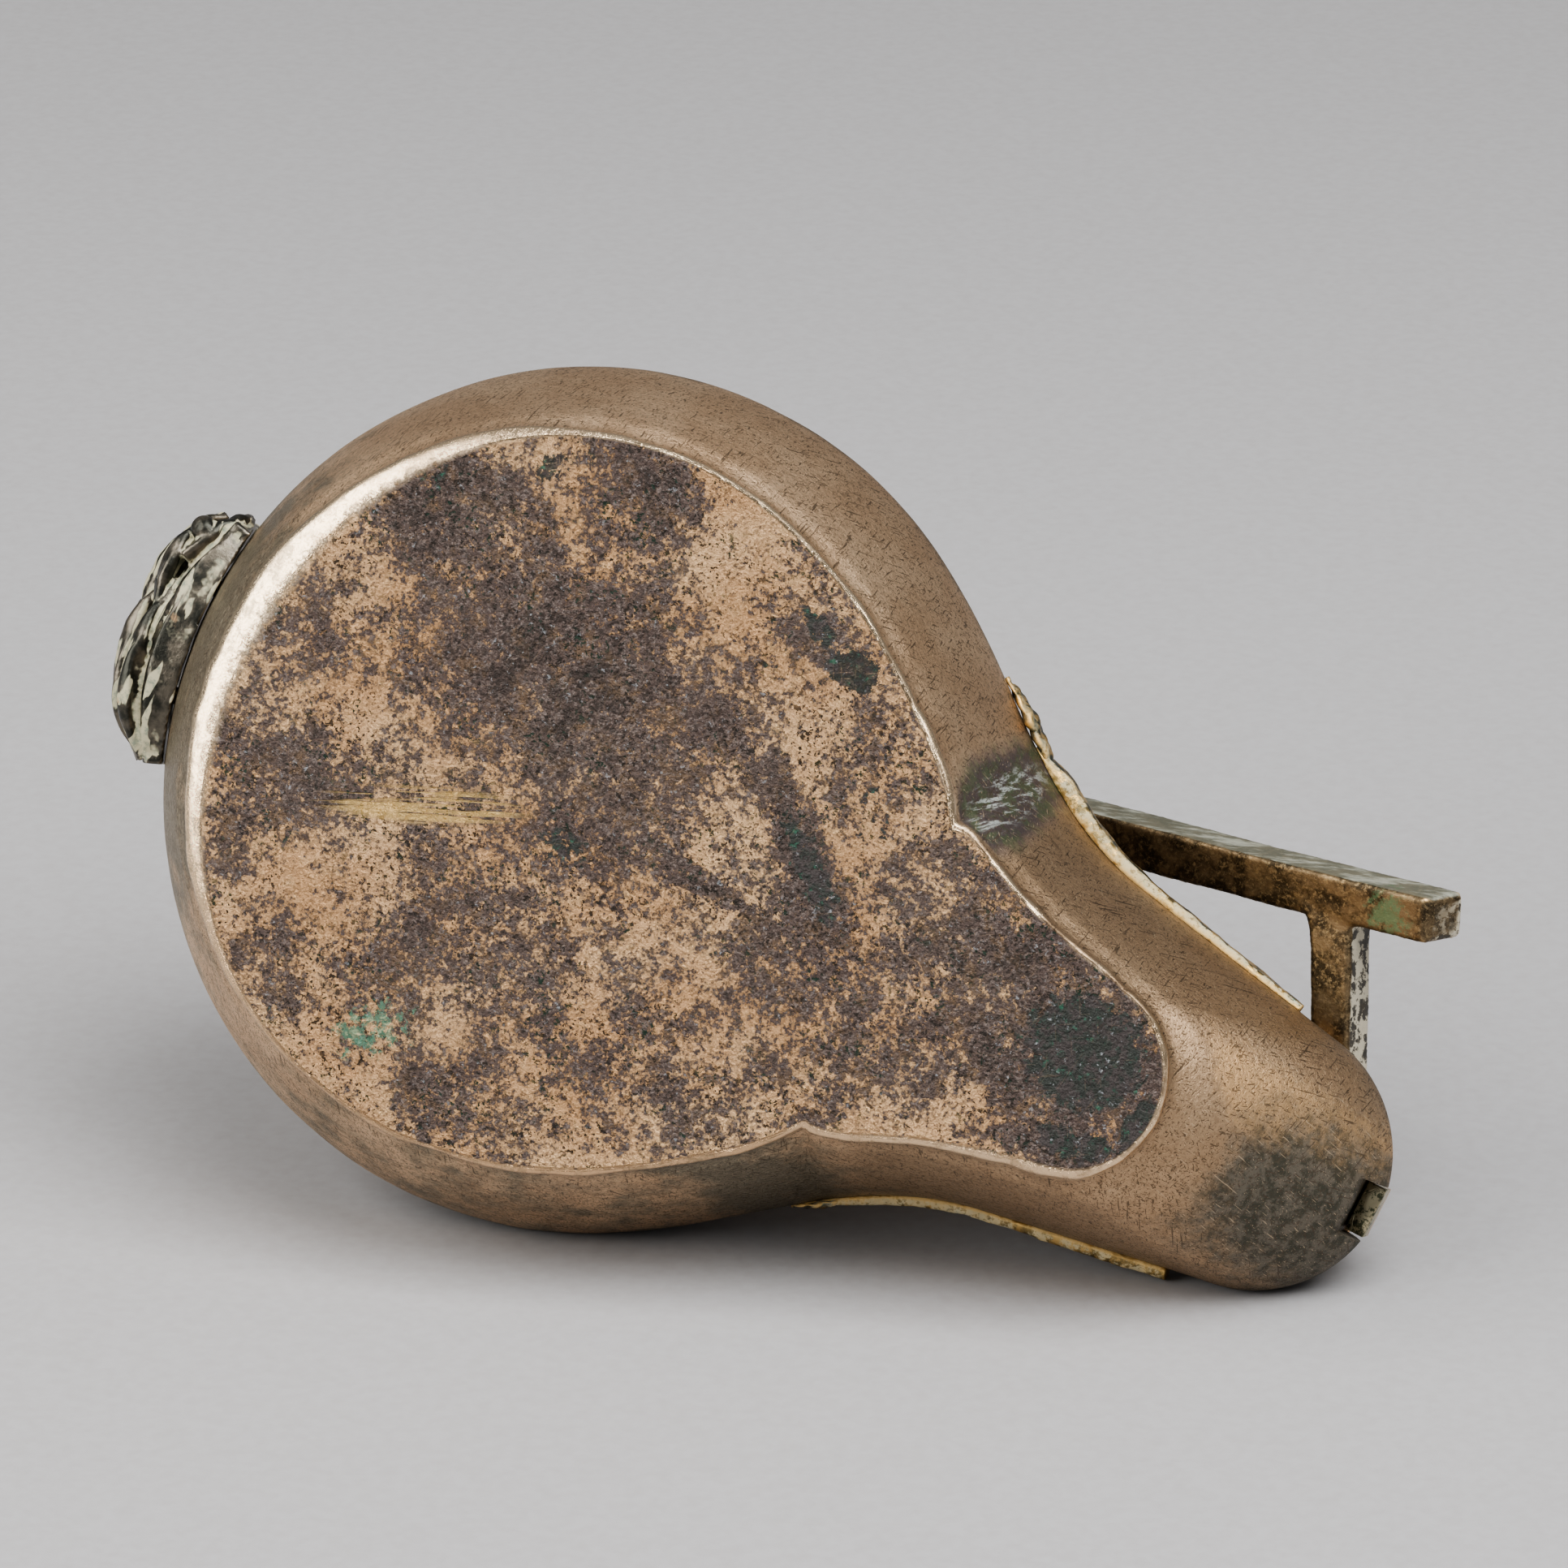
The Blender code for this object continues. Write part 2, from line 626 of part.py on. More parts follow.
def make_lid_dome(mats, parent):
    base = DECK_TOP + GAP
    hole = STUD_R + GAP
    outer = [p for p in dome_profile(0.0, 10) if p[0] > hole + 1]
    inner = [p for p in dome_profile(-LID_WALL, 7) if p[0] > hole + 1]
    inner.reverse()
    profile = [(hole, LID_CROWN_Z)] + outer
    profile += [(LID_R + 0.7, base + 1.6), (LID_R + 0.7, base + 0.4), (LID_R + 0.3, base)]
    profile += [(LID_R - LID_WALL, base)] + inner + [(hole, LID_CROWN_Z - LID_WALL)]
    dome = turned(profile, "lid_dome", mats["bronze"], 48, closed=True, parent=parent)
    for i, (place, way) in enumerate(knuckle_rivet_places()):
        tool = cylinder(f"dome_hole_{i}", None, RIVET_HOLE_R, place - way * 5, place + way * 5, 12)
        combine(dome, tool, "DIFFERENCE")
    return dome


def strap_frame(z):
    """The dome's rear profile at height z in the XZ plane: a point and the way out of it."""
    step = 0.05
    low = Vector((-dome_radius(z - step), 0, z - step))
    high = Vector((-dome_radius(z + step), 0, z + step))
    along = (high - low).normalized()
    way = Vector((-along.z, 0, along.x))
    return Vector((-dome_radius(z), 0, z)), way


def knuckle_rivet_places():
    places = []
    for side in (1, -1):
        point, way = strap_frame(STRAP_RIVET_Z)
        places.append((point + Vector((0, STRAP_RIVET_Y * side, 0)), way))
    return places


def make_lid_knuckle(mats, parent):
    """The tube that turns on the pin, with a strap that lies up the dome's rear."""
    rings = []
    for z in (30.4, 32.0, 34.0, 36.0, 38.0):
        point, way = strap_frame(z)
        near = point + way * (GAP + 0.25)
        far = near + way * STRAP_T
        half = KNUCKLE_HALF if z < 37 else KNUCKLE_HALF - 1.6
        rings.append([near + Vector((0, -half, 0)), near + Vector((0, half, 0)),
                      far + Vector((0, half, 0)), far + Vector((0, -half, 0))])
    half = KNUCKLE_HALF
    root = [Vector((PIN_X, -half, PIN_Z + 0.3)), Vector((PIN_X, half, PIN_Z + 0.3)),
            Vector((PIN_X, half, PIN_Z + 1.7)), Vector((PIN_X, -half, PIN_Z + 1.7))]
    elbow = [Vector((-35.0, -half, PIN_Z + 0.4)), Vector((-35.0, half, PIN_Z + 0.4)),
             Vector((-35.6, half, PIN_Z + 2.2)), Vector((-35.6, -half, PIN_Z + 2.2))]
    knuckle = loft([root, elbow] + rings, "lid_knuckle", mats["bronze"], parent=parent)
    tube = cylinder("knuckle_tube", None, KNUCKLE_R, (PIN_X, -half + 0.01, PIN_Z),
                    (PIN_X, half - 0.01, PIN_Z), 24)
    combine(knuckle, tube, "UNION")
    bore = cylinder("knuckle_bore", None, PIN_R + GAP, (PIN_X, -half - 3, PIN_Z),
                    (PIN_X, half + 3, PIN_Z), 20)
    combine(knuckle, bore, "DIFFERENCE")
    for i, (place, way) in enumerate(knuckle_rivet_places()):
        tool = cylinder(f"strap_hole_{i}", None, RIVET_HOLE_R, place - way * 5, place + way * 5, 12)
        combine(knuckle, tool, "DIFFERENCE")
    return knuckle


def make_knuckle_rivets(mats, parent):
    for i, (place, way) in enumerate(knuckle_rivet_places()):
        top = STRAP_T + 0.25 + 2 * GAP
        low = -LID_WALL - GAP - 0.2
        profile = [(0, top + 0.9), (0.9, top + 0.7), (1.5, top), (RIVET_R, top), (RIVET_R, low),
                   (1.5, low), (0.9, low - 0.7), (0, low - 0.8)]
        rivet = turned(profile, f"knuckle_rivet_{i + 1}", mats["fastener"], 12)
        rivet.rotation_mode = "QUATERNION"
        rivet.rotation_quaternion = way.to_track_quat("Z", "Y")
        rivet.location = place * MM
        rivet.parent = parent
        rivet.matrix_parent_inverse = parent.matrix_world.inverted()


def smooth_path(points, per_span):
    """A Catmull-Rom curve through the points."""
    points = [Vector(p) for p in points]
    ends = [points[0] * 2 - points[1]] + points + [points[-1] * 2 - points[-2]]
    path = []
    for i in range(1, len(ends) - 2):
        a, b, c, d = ends[i - 1:i + 3]
        for k in range(per_span):
            t = k / per_span
            path.append(0.5 * (2 * b + (c - a) * t + (2 * a - 5 * b + 4 * c - d) * t * t
                               + (3 * b - a - 3 * c + d) * t ** 3))
    path.append(points[-1])
    return path


def bar_section(center, along, width, depth, roll, chamfer, tilt=0.0):
    """A chamfered rectangle across a bar. Its depth lies near the vertical before the roll."""
    side = along.cross(Vector((0, 0, 1))).normalized()
    up = side.cross(along).normalized()
    side, up = side * cos(roll) + up * sin(roll), up * cos(roll) - side * sin(roll)
    half_w = width / 2
    half_d = depth / 2
    corners = []
    for sx, sy in ((1, 1), (-1, 1), (-1, -1), (1, -1)):
        first = (sx * half_w, sy * (half_d - chamfer))
        second = (sx * (half_w - chamfer), sy * half_d)
        corners += [first, second] if sx * sy > 0 else [second, first]
    return [center + side * x + up * y + along * (tilt * y) for x, y in corners]


def make_lid_arm(mats, parent):
    """The lift arm: an eye under the crown nut, a square bar past the nozzle and its side branch."""
    path = smooth_path(ARM_PATH, 4)
    rings = []
    for i, point in enumerate(path):
        along = (path[min(i + 1, len(path) - 1)] - path[max(i - 1, 0)]).normalized()
        roll = ARM_ROLL * min(max((i - 8) / 8, 0.0), 1.0)
        rings.append(bar_section(point, along, ARM_W, ARM_W, roll, ARM_CHAMFER))
    along = (path[-1] - path[-2]).normalized()
    rings[-1] = bar_section(path[-1], along, ARM_W, ARM_W, ARM_ROLL, ARM_CHAMFER, END_TILT)
    tip = path[-1] + along * 0.5
    end = ARM_W - 1.0
    rings.append(bar_section(tip, along, end, end, ARM_ROLL, ARM_CHAMFER * 0.6, END_TILT))
    arm = loft(rings, "lid_arm", mats["arm_bronze"], parent=parent)

    root = Vector(BRANCH_ROOT)
    foot = Vector(BRANCH_FOOT)
    along = (foot - root).normalized()
    width, depth = BRANCH_SIZE
    rings = []
    widths = ((0.0, width + 3.2), (0.10, width + 1.2), (0.2, width), (0.8, width - 0.5), (1.0, width - 0.6))
    for share, wide in widths:
        center = root.lerp(foot, share)
        rings.append(bar_section(center, along, wide, depth, BRANCH_ROLL, 0.4))
    branch = loft(rings, "arm_branch", None)
    combine(arm, branch, "UNION")
    pad = cylinder("arm_pad", None, 2.6, (foot.x, foot.y, DECK_TOP + GAP), (foot.x, foot.y, foot.z), 16)
    combine(arm, pad, "UNION")
    eye_z = LID_CROWN_Z + GAP
    eye = cylinder("arm_eye", None, ARM_EYE_R, (0, 0, eye_z), (0, 0, eye_z + ARM_EYE_T), 32)
    combine(arm, eye, "UNION")
    hole = cylinder("eye_hole", None, STUD_R + GAP, (0, 0, eye_z - 5), (0, 0, eye_z + 12), 20)
    combine(arm, hole, "DIFFERENCE")
    return arm


def make_crown_fixings(mats, parent):
    """Washer, threaded stud with an inner head, and the turned finial nut that clamps the arm."""
    low = LID_CROWN_Z + 2 * GAP + ARM_EYE_T
    washer_top = low + 0.8
    profile = [(STUD_R + GAP, washer_top), (4.4, washer_top), (4.4, low), (STUD_R + GAP, low)]
    turned(profile, "crown_washer", mats["fastener"], 32, closed=True, parent=parent)
    head = LID_CROWN_Z - LID_WALL - GAP
    top = washer_top + 5.0
    profile = [(0, top), (STUD_R, top), (STUD_R, head), (4.2, head), (4.2, head - 1.0),
               (3.4, head - 1.5), (0, head - 1.5)]
    turned(profile, "crown_stud", mats["fastener"], 24, parent=parent)
    base = washer_top + GAP
    finial = [(0, base + 11.0), (1.1, base + 10.8), (1.9, base + 10.0), (2.1, base + 9.2),
              (1.7, base + 8.3), (1.3, base + 7.8), (2.6, base + 7.2), (3.6, base + 6.0),
              (3.8, base + 4.8), (3.3, base + 3.4), (2.6, base + 2.6), (3.9, base + 2.0),
              (4.2, base + 1.2), (4.0, base), (STUD_R + GAP, base), (STUD_R + GAP, top + GAP),
              (0, top + GAP)]
    turned(finial, "crown_nut", mats["bronze"], 24, parent=parent)


def main():
    clear_scene()
    mats = materials()
    lid_axis = bpy.data.objects.new("lid_axis", None)
    lid_axis.location = (PIN_X * MM, 0, PIN_Z * MM)
    pot_axis = bpy.data.objects.new("pot_axis", None)
    for empty in (lid_axis, pot_axis):
        collection(COLLECTION).objects.link(empty)
    bpy.context.view_layer.update()
    make_bowl(mats)
    for side in (1, -1):
        make_border(side, mats)
        make_scroll(side, mats)
    make_rear_leaf(mats)
    make_leaf_rivets(mats)
    make_deck(mats)
    make_deck_screws(mats)
    make_collar(mats)
    make_washer(mats)
    make_pot(mats, pot_axis)
    make_pen_ring(mats)
    make_hinge_bracket(mats)
    make_bracket_rivets(mats)
    make_hinge_pin(mats)
    make_lid_dome(mats, lid_axis)
    make_lid_knuckle(mats, lid_axis)
    make_knuckle_rivets(mats, lid_axis)
    make_lid_arm(mats, lid_axis)
    make_crown_fixings(mats, lid_axis)
    bpy.context.view_layer.update()


main()
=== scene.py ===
"""Looks of the lamp-form inkwell: a worn bronze casting lying on its side, its foot to the camera.

Lengths are in millimetres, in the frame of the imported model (+X to the nozzle, +Z out of the
deck), and are scaled by MM when a mesh is made. The bowl's outline repeats the CAD's formula.
"""
import json
from math import acos, cos, hypot, pi, radians, sin, sqrt

import bmesh
import bpy
import numpy as np
from mathutils import Matrix, Vector

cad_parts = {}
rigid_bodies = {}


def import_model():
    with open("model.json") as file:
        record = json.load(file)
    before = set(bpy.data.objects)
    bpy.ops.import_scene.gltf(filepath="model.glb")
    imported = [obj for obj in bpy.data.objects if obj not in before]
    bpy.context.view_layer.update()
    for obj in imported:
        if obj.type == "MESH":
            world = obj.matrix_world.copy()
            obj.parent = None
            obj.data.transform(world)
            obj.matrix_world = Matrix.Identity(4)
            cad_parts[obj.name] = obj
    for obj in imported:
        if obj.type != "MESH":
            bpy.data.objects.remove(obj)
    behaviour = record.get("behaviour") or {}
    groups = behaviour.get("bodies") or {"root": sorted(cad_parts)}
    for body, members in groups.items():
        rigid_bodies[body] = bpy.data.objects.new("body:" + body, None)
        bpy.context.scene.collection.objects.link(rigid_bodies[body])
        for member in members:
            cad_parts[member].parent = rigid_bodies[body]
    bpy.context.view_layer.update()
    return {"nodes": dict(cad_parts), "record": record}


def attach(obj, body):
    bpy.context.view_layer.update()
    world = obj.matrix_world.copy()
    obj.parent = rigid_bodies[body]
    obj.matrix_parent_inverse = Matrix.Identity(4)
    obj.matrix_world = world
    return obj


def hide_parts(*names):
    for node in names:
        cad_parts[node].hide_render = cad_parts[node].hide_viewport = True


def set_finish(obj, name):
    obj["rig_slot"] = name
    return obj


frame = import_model()

MM = 0.001
GAP = 0.3

# The CAD's driving dimensions that the finer surfaces repeat
FOOT = {"round": 36.2, "neck_x": 16.5, "neck_r": 19.7, "tip_x": 58.0, "tip_r": 10.2, "blend": 17.4}
RIM = {"round": 43.1, "neck_x": 20.1, "neck_r": 23.4, "tip_x": 75.5, "tip_r": 13.6, "blend": 14.2}
WAIST_ANGLE = radians(52)
FLANK = radians(79)
FOOT_EDGE = 0.9
RIM_Z = 20.0
FLARE_POWER = 1.4
BOWL_TOP = 23.3
SHOULDER_IN = 2.8
LAND = 1.4
WALL = 2.2
FLOOR_Z = 2.4
NOTCH = (2.6, 6.0, 7.2)
TIP = RIM["tip_x"] + RIM["tip_r"]


# ---------------------------------------------------------------- noise and meshes
def lattice_noise(points, size, seed=0):
    """Smooth value noise in -1..1 at an N x 3 array of points; size is the grain in millimetres."""
    q = points / size + 1000.0
    cell = np.floor(q).astype(np.int64)
    f = q - cell
    f = f * f * (3 - 2 * f)
    total = np.zeros(len(points))
    for dx in (0, 1):
        for dy in (0, 1):
            for dz in (0, 1):
                h = ((cell[:, 0] + dx) * 73856093 ^ (cell[:, 1] + dy) * 19349663
                     ^ (cell[:, 2] + dz) * 83492791)
                h = (h + seed * 1013904223) & 0xFFFFFFFF
                h = ((h ^ (h >> 15)) * 2246822519) & 0xFFFFFFFF
                h = ((h ^ (h >> 13)) * 3266489917) & 0xFFFFFFFF
                value = (h & 0xFFFF) / 32767.5 - 1
                weight = (f[:, 0] if dx else 1 - f[:, 0]) * (f[:, 1] if dy else 1 - f[:, 1])
                total += value * weight * (f[:, 2] if dz else 1 - f[:, 2])
    return total


def fractal(points, size, octaves, seed=0):
    total = np.zeros(len(points))
    for k in range(octaves):
        total += lattice_noise(points, size / 2 ** k, seed + k) / 2 ** k
    return total


def add_object(name, data):
    obj = bpy.data.objects.new(name, data)
    bpy.context.scene.collection.objects.link(obj)
    return obj


def mesh_object(name, verts, faces):
    mesh = bpy.data.meshes.new(name)
    mesh.from_pydata((np.asarray(verts, float) * MM).tolist(), [], faces)
    mesh.shade_smooth()
    return add_object(name, mesh)


def outward(obj):
    bm = bmesh.new()
    bm.from_mesh(obj.data)
    bmesh.ops.recalc_face_normals(bm, faces=bm.faces)
    bm.to_mesh(obj.data)
    bm.free()
    obj.data.shade_smooth()
    return obj


def ring_faces(rows, count, closed=False):
    """Quads between rows of equal counts, whose points run on from each other."""
    faces = []
    for i in range(rows if closed else rows - 1):
        a = i * count
        b = ((i + 1) % rows) * count
        for j in range(count):
            k = (j + 1) % count
            faces.append((a + j, a + k, b + k, b + j))
    return faces


def loft(name, rings, closed=False):
    """A surface through rings of points, capped at its ends unless it closes on itself."""
    rings = [np.asarray(ring, float) for ring in rings]
    count = len(rings[0])
    faces = ring_faces(len(rings), count, closed)
    if not closed:
        faces.append(tuple(range(count))[::-1])
        faces.append(tuple(range((len(rings) - 1) * count, len(rings) * count)))
    return outward(mesh_object(name, np.vstack(rings), faces))


def points_of(obj):
    co = np.empty(len(obj.data.vertices) * 3)
    obj.data.vertices.foreach_get("co", co)
    return co.reshape(-1, 3) / MM


def set_points(obj, co):
    obj.data.vertices.foreach_set("co", (co * MM).ravel())
    obj.data.update()


def push(obj, amount):
    """Moves each vertex along its normal by an amount in millimetres."""
    normal = np.empty(len(obj.data.vertices) * 3)
    obj.data.vertex_normals.foreach_get("vector", normal)
    co = points_of(obj) + normal.reshape(-1, 3) * np.asarray(amount)[:, None]
    set_points(obj, co)


def mask(obj, name, values):
    """Stores one number per vertex, which the object's material reads by name."""
    layer = obj.data.attributes.new(name, "FLOAT", "POINT")
    layer.data.foreach_set("value", np.clip(np.asarray(values, float), 0, 1))


def step(value, low, high):
    t = np.clip((value - low) / (high - low), 0, 1)
    return t * t * (3 - 2 * t)


def fuse(name, objects, voxel, smooth=2):
    """Joins solids into one worn surface by a voxel remesh, and smooths it a little."""
    bm = bmesh.new()
    for obj in objects:
        bm.from_mesh(obj.data)
        bpy.data.objects.remove(obj)
    mesh = bpy.data.meshes.new(name)
    bm.to_mesh(mesh)
    bm.free()
    joined = add_object(name, mesh)
    remesh = joined.modifiers.new("fuse", "REMESH")
    remesh.mode = "VOXEL"
    remesh.voxel_size = voxel * MM
    soften = joined.modifiers.new("soften", "SMOOTH")
    soften.factor = 0.5
    soften.iterations = smooth
    return apply_modifiers(joined)


def apply_modifiers(obj):
    graph = bpy.context.evaluated_depsgraph_get()
    mesh = bpy.data.meshes.new_from_object(obj.evaluated_get(graph))
    obj.modifiers.clear()
    obj.data = mesh
    mesh.shade_smooth()
    return obj


def turned(name, profile, steps=128, closed=False, fillet=0.25):
    """A turned piece about Z. Its profile's corners are rounded by fillet."""
    rounded = round_corners(profile, fillet, closed)
    rings = []
    for r, z in rounded:
        angles = np.linspace(0, 2 * pi, steps, endpoint=False)
        radius = max(r, 0.004)
        rings.append(np.column_stack([radius * np.cos(angles), radius * np.sin(angles),
                                      np.full(steps, z)]))
    return loft(name, rings, closed)


def round_corners(profile, fillet, closed):
    points = [np.array(p, float) for p in profile]
    count = len(points)
    rounded = []
    for i, here in enumerate(points):
        if not closed and i in (0, count - 1):
            rounded.append(here)
            continue
        before = points[i - 1] - here
        after = points[(i + 1) % count] - here
        reach = min(fillet, np.linalg.norm(before) * 0.45, np.linalg.norm(after) * 0.45)
        start = here + before / np.linalg.norm(before) * reach
        end = here + after / np.linalg.norm(after) * reach
        for t in (0.0, 0.33, 0.67, 1.0):
            rounded.append(start * (1 - t) ** 2 + here * 2 * t * (1 - t) + end * t * t)
    return rounded


def place(obj, origin, way=None):
    """Moves a piece made about the origin and Z to its spot, with Z turned to way."""
    turn = Matrix.Identity(4)
    if way is not None:
        turn = Vector(way).to_track_quat("Z", "Y").to_matrix().to_4x4()
    obj.data.transform(Matrix.Translation(Vector(origin) * MM) @ turn)
    return obj


def piece(obj, body, slot, *nodes):
    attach(obj, body)
    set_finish(obj, slot)
    if nodes:
        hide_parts(*nodes)
    return obj


# ---------------------------------------------------------------- the keyhole outline
def outline_distance(x, y, shape):
    circle = np.hypot(x, y) - shape["round"]
    length = shape["tip_x"] - shape["neck_x"]
    slope = (shape["neck_r"] - shape["tip_r"]) / length
    rise = np.sqrt(1 - slope * slope)
    along = x - shape["neck_x"]
    side = np.abs(y)
    where = along * rise - side * slope
    capsule = side * rise + along * slope - shape["neck_r"]
    capsule = np.where(where < 0, np.hypot(side, along) - shape["neck_r"], capsule)
    tip = np.hypot(side, along - length) - shape["tip_r"]
    capsule = np.where(where > rise * length, tip, capsule)
    blend = np.maximum(shape["blend"] - np.abs(circle - capsule), 0) / shape["blend"]
    return np.minimum(circle, capsule) - blend * blend * shape["blend"] / 4


def stations(body, neck, tip):
    """Ray starts (share of the way to the tip's centre) and angles, once round the outline."""
    rays = [(0.0, pi + (WAIST_ANGLE - pi) * i / body) for i in range(body)]
    rays += [(i / neck, WAIST_ANGLE + (FLANK - WAIST_ANGLE) * i / neck) for i in range(neck)]
    rays += [(1.0, FLANK * (1 - i / tip)) for i in range(tip + 1)]
    rays.reverse()
    rays += [(share, -angle) for share, angle in rays[1:-1]][::-1]
    return np.array(rays)


HALVINGS = 34
RAY_REACH = 60.0


def outline(shape, rays, inset=0.0):
    """The outline's points on those rays, inset by a number or by one number per ray."""
    start = rays[:, 0] * shape["tip_x"]
    way = np.column_stack([np.cos(rays[:, 1]), np.sin(rays[:, 1])])
    near = np.zeros(len(rays))
    far = np.full(len(rays), RAY_REACH)
    for _ in range(HALVINGS):
        middle = (near + far) / 2
        inside = outline_distance(start + middle * way[:, 0], middle * way[:, 1], shape) < -inset
        near = np.where(inside, middle, near)
        far = np.where(inside, far, middle)
    return np.column_stack([start + near * way[:, 0], near * way[:, 1]])


def wall_shape(z):
    height = np.clip((z - FOOT_EDGE) / (RIM_Z - FOOT_EDGE), 0.0, 1.0)
    share = 1 - (1 - height) ** FLARE_POWER
    return {key: FOOT[key] + (RIM[key] - FOOT[key]) * share for key in FOOT}


def shoulder_inset(z):
    share = min((z - RIM_Z) / (BOWL_TOP - RIM_Z), 1.0)
    return SHOULDER_IN * (1 - sqrt(1 - share * share * 0.97))


def level(points, z):
    return np.column_stack([points, np.broadcast_to(z, len(points))])


# ---------------------------------------------------------------- bowl
# Tarnish on the foot: middle x, y, radii along and across, turn in degrees, strength
TARNISH = [
    (-3, -10, 12, 10, 10, 1.0), (5, -5, 9, 9, 0, 0.8), (4, 2, 8, 5, 0, 0.55),
    (-24, -22, 7, 5, 60, 1.0), (-17, -21, 8, 6, 20, 0.7), (-11, -26, 9, 5, 0, 0.45),
    (-6, -32, 6, 3, 20, 0.9), (-28, -3, 6, 5, 0, 0.6), (-24, 10, 7, 5, 10, 0.75),
    (-27, 17, 4, 6, 0, 0.5), (18, -26, 6, 4, 30, 0.55), (26, -23, 4, 3, 0, 0.5),
    (12, -15, 4, 6, 20, 0.85), (27, -6, 2, 8, -52, 1.1), (30, -18, 5, 4, 0, 0.45),
    (18, -9, 5, 3, 20, 0.25), (59, -2.5, 6, 5.4, 0, 1.5), (67, 1.5, 1.6, 3, 0, 1.5),
    (53, 1, 5, 5, 0, 1.0), (61, 6, 5, 3, 0, 1.1), (48, -8, 12, 5, -12, 0.8),
    (2, 15, 11, 7, 30, 0.62), (-6, 21, 6, 6, 0, 0.6), (5, 29, 9, 4, 10, 0.6),
    (25, 19, 10, 6, -25, 0.5), (31, 4, 11, 7, 10, 0.6), (46, 3, 9, 6, 0, 0.62),
    (38, 12, 8, 5, -20, 0.45), (20, 12, 9, 6, 0, 0.4), (-16, 27, 6, 5, 30, 0.5),
    (40, -13, 8, 3, -30, 0.55), (14, 18, 24, 15, 0, 0.3), (44, 0, 20, 12, -8, 0.45),
    (20, -16, 16, 10, 20, 0.12), (34, 10, 14, 8, 0, 0.4),
]
# Dark green crust, a scored mark, and pale green bloom
GREEN_CRUST = [
    (59, -2.5, 5.4, 4.8, 0, 1.2), (67, 1.5, 1.5, 2.6, 0, 1.2), (61, 6, 4, 2, 0, 0.8),
    (27, -6, 1.6, 7, -52, 0.9), (22, -25, 2.6, 2, 0, 1.1), (17, -27, 3.5, 1.5, 30, 0.8),
    (53, 1, 3, 3, 0, 0.4), (4, 3, 3.5, 2.5, 0, 0.75), (-24, -23, 3, 3, 0, 0.6),
    (-14, -29, 1.5, 2, 0, 0.8), (30, -14, 3, 5, -30, 0.6), (33, -9, 2, 4, 0, 0.5),
    (-22, 9, 4, 2, 40, 0.5), (64, 5, 2, 1.5, 0, 0.9),
]
SCORED = [(-10, 6, 9.5, 1.7, -24, 1.0)]
GREEN_BLOOM = [(-5, 28, 4.4, 2.8, -40, 1.0), (-13, 6, 3.5, 1.0, 10, 0.45), (4, 4, 2, 1, 0, 0.5)]


def blobs(points, table):
    """The strongest of the soft ellipses at each point."""
    field = np.zeros(len(points))
    for x, y, a, b, turn, strength in table:
        angle = radians(turn)
        dx = points[:, 0] - x
        dy = points[:, 1] - y
        u = (dx * cos(angle) + dy * sin(angle)) / a
        v = (dy * cos(angle) - dx * sin(angle)) / b
        field = np.maximum(field, strength * np.clip(1.25 - np.hypot(u, v) * 0.62, 0, 1))
    return field


def edge_wear(x, y):
    """Width and height of the foot's rounded edge, worn wide at the rear and the lobe's left."""
    rear = np.clip(np.cos(np.arctan2(y, x) - radians(186)), 0, 1) ** 3.0
    lobe = np.exp(-((x - 58) ** 2 + (y - 11) ** 2) / 60.0)
    width = FOOT_EDGE * (0.85 + 4.6 * rear + 0.9 * lobe)
    return width, FOOT_EDGE * (0.85 + 1.1 * rear + 0.7 * lobe)


def pinch(co):
    """Sharpens the hollow where reservoir and neck meet, on foot and wall."""
    x, y, z = co.T
    fade = np.clip(1 - z / 21.0, 0, 1) * (z < RIM_Z)
    crease = np.exp(-np.abs(x - 37.5 - 0.12 * z) / 2.0) * step(np.abs(y), 6.0, 17.0) * fade
    co[:, 1] -= np.sign(y) * 2.2 * crease
    return co


def bowl_surface():
    """The casting: a fine foot face, its rounded edge, the flared wall, the shoulder and inside."""
    rays = stations(170, 80, 48)
    face = outline(FOOT, rays)
    spots = level(face, 0.0)
    wobble = lattice_noise(spots, 7.0, 5) * 0.16 + lattice_noise(spots, 2.2, 6) * 0.12
    width, height = edge_wear(face[:, 0], face[:, 1])
    edge = outline(FOOT, rays, width)
    start = np.column_stack([rays[:, 0] * FOOT["tip_x"], np.zeros(len(rays))])
    rings = []
    for share in np.linspace(0.02, 1.0, 46) ** 0.72:
        rings.append(level(start + (edge - start) * share, 0.0))
    for i in range(1, 13):
        angle = radians(90) * i / 12
        z = height * (1 - cos(angle))
        inset = width * (1 - sin(angle)) + wobble * (i / 12)
        rings.append(level(outline(wall_shape(z * 0.6), rays, inset), z))
    for i in range(1, 37):
        z = height + (RIM_Z - height) * i / 36
        fade = max(1 - i / 6, 0)
        shape = wall_shape(z * min(0.6 + i / 12, 1.0))
        rings.append(level(outline(shape, rays, wobble * fade), z))
    for i in range(1, 11):
        z = RIM_Z + (BOWL_TOP - RIM_Z) * sin(radians(90) * i / 10)
        rings.append(level(outline(RIM, rays, shoulder_inset(z)), z))
    land = shoulder_inset(BOWL_TOP) + LAND
    rings.append(level(outline(RIM, rays, land - 0.1), BOWL_TOP))
    for z in (BOWL_TOP - 0.3, RIM_Z, 16.0, 12.0, 8.0, 5.0):
        inset = land if z >= RIM_Z else WALL
        rings.append(level(outline(wall_shape(z), rays, inset), z))
    rings.append(level(outline(wall_shape(FLOOR_Z), rays, WALL + 1.6), FLOOR_Z))
    outer = len(rings) - 8
    for i in range(outer):
        rings[i] = pinch(rings[i])
    return loft("bowl_cast", rings)


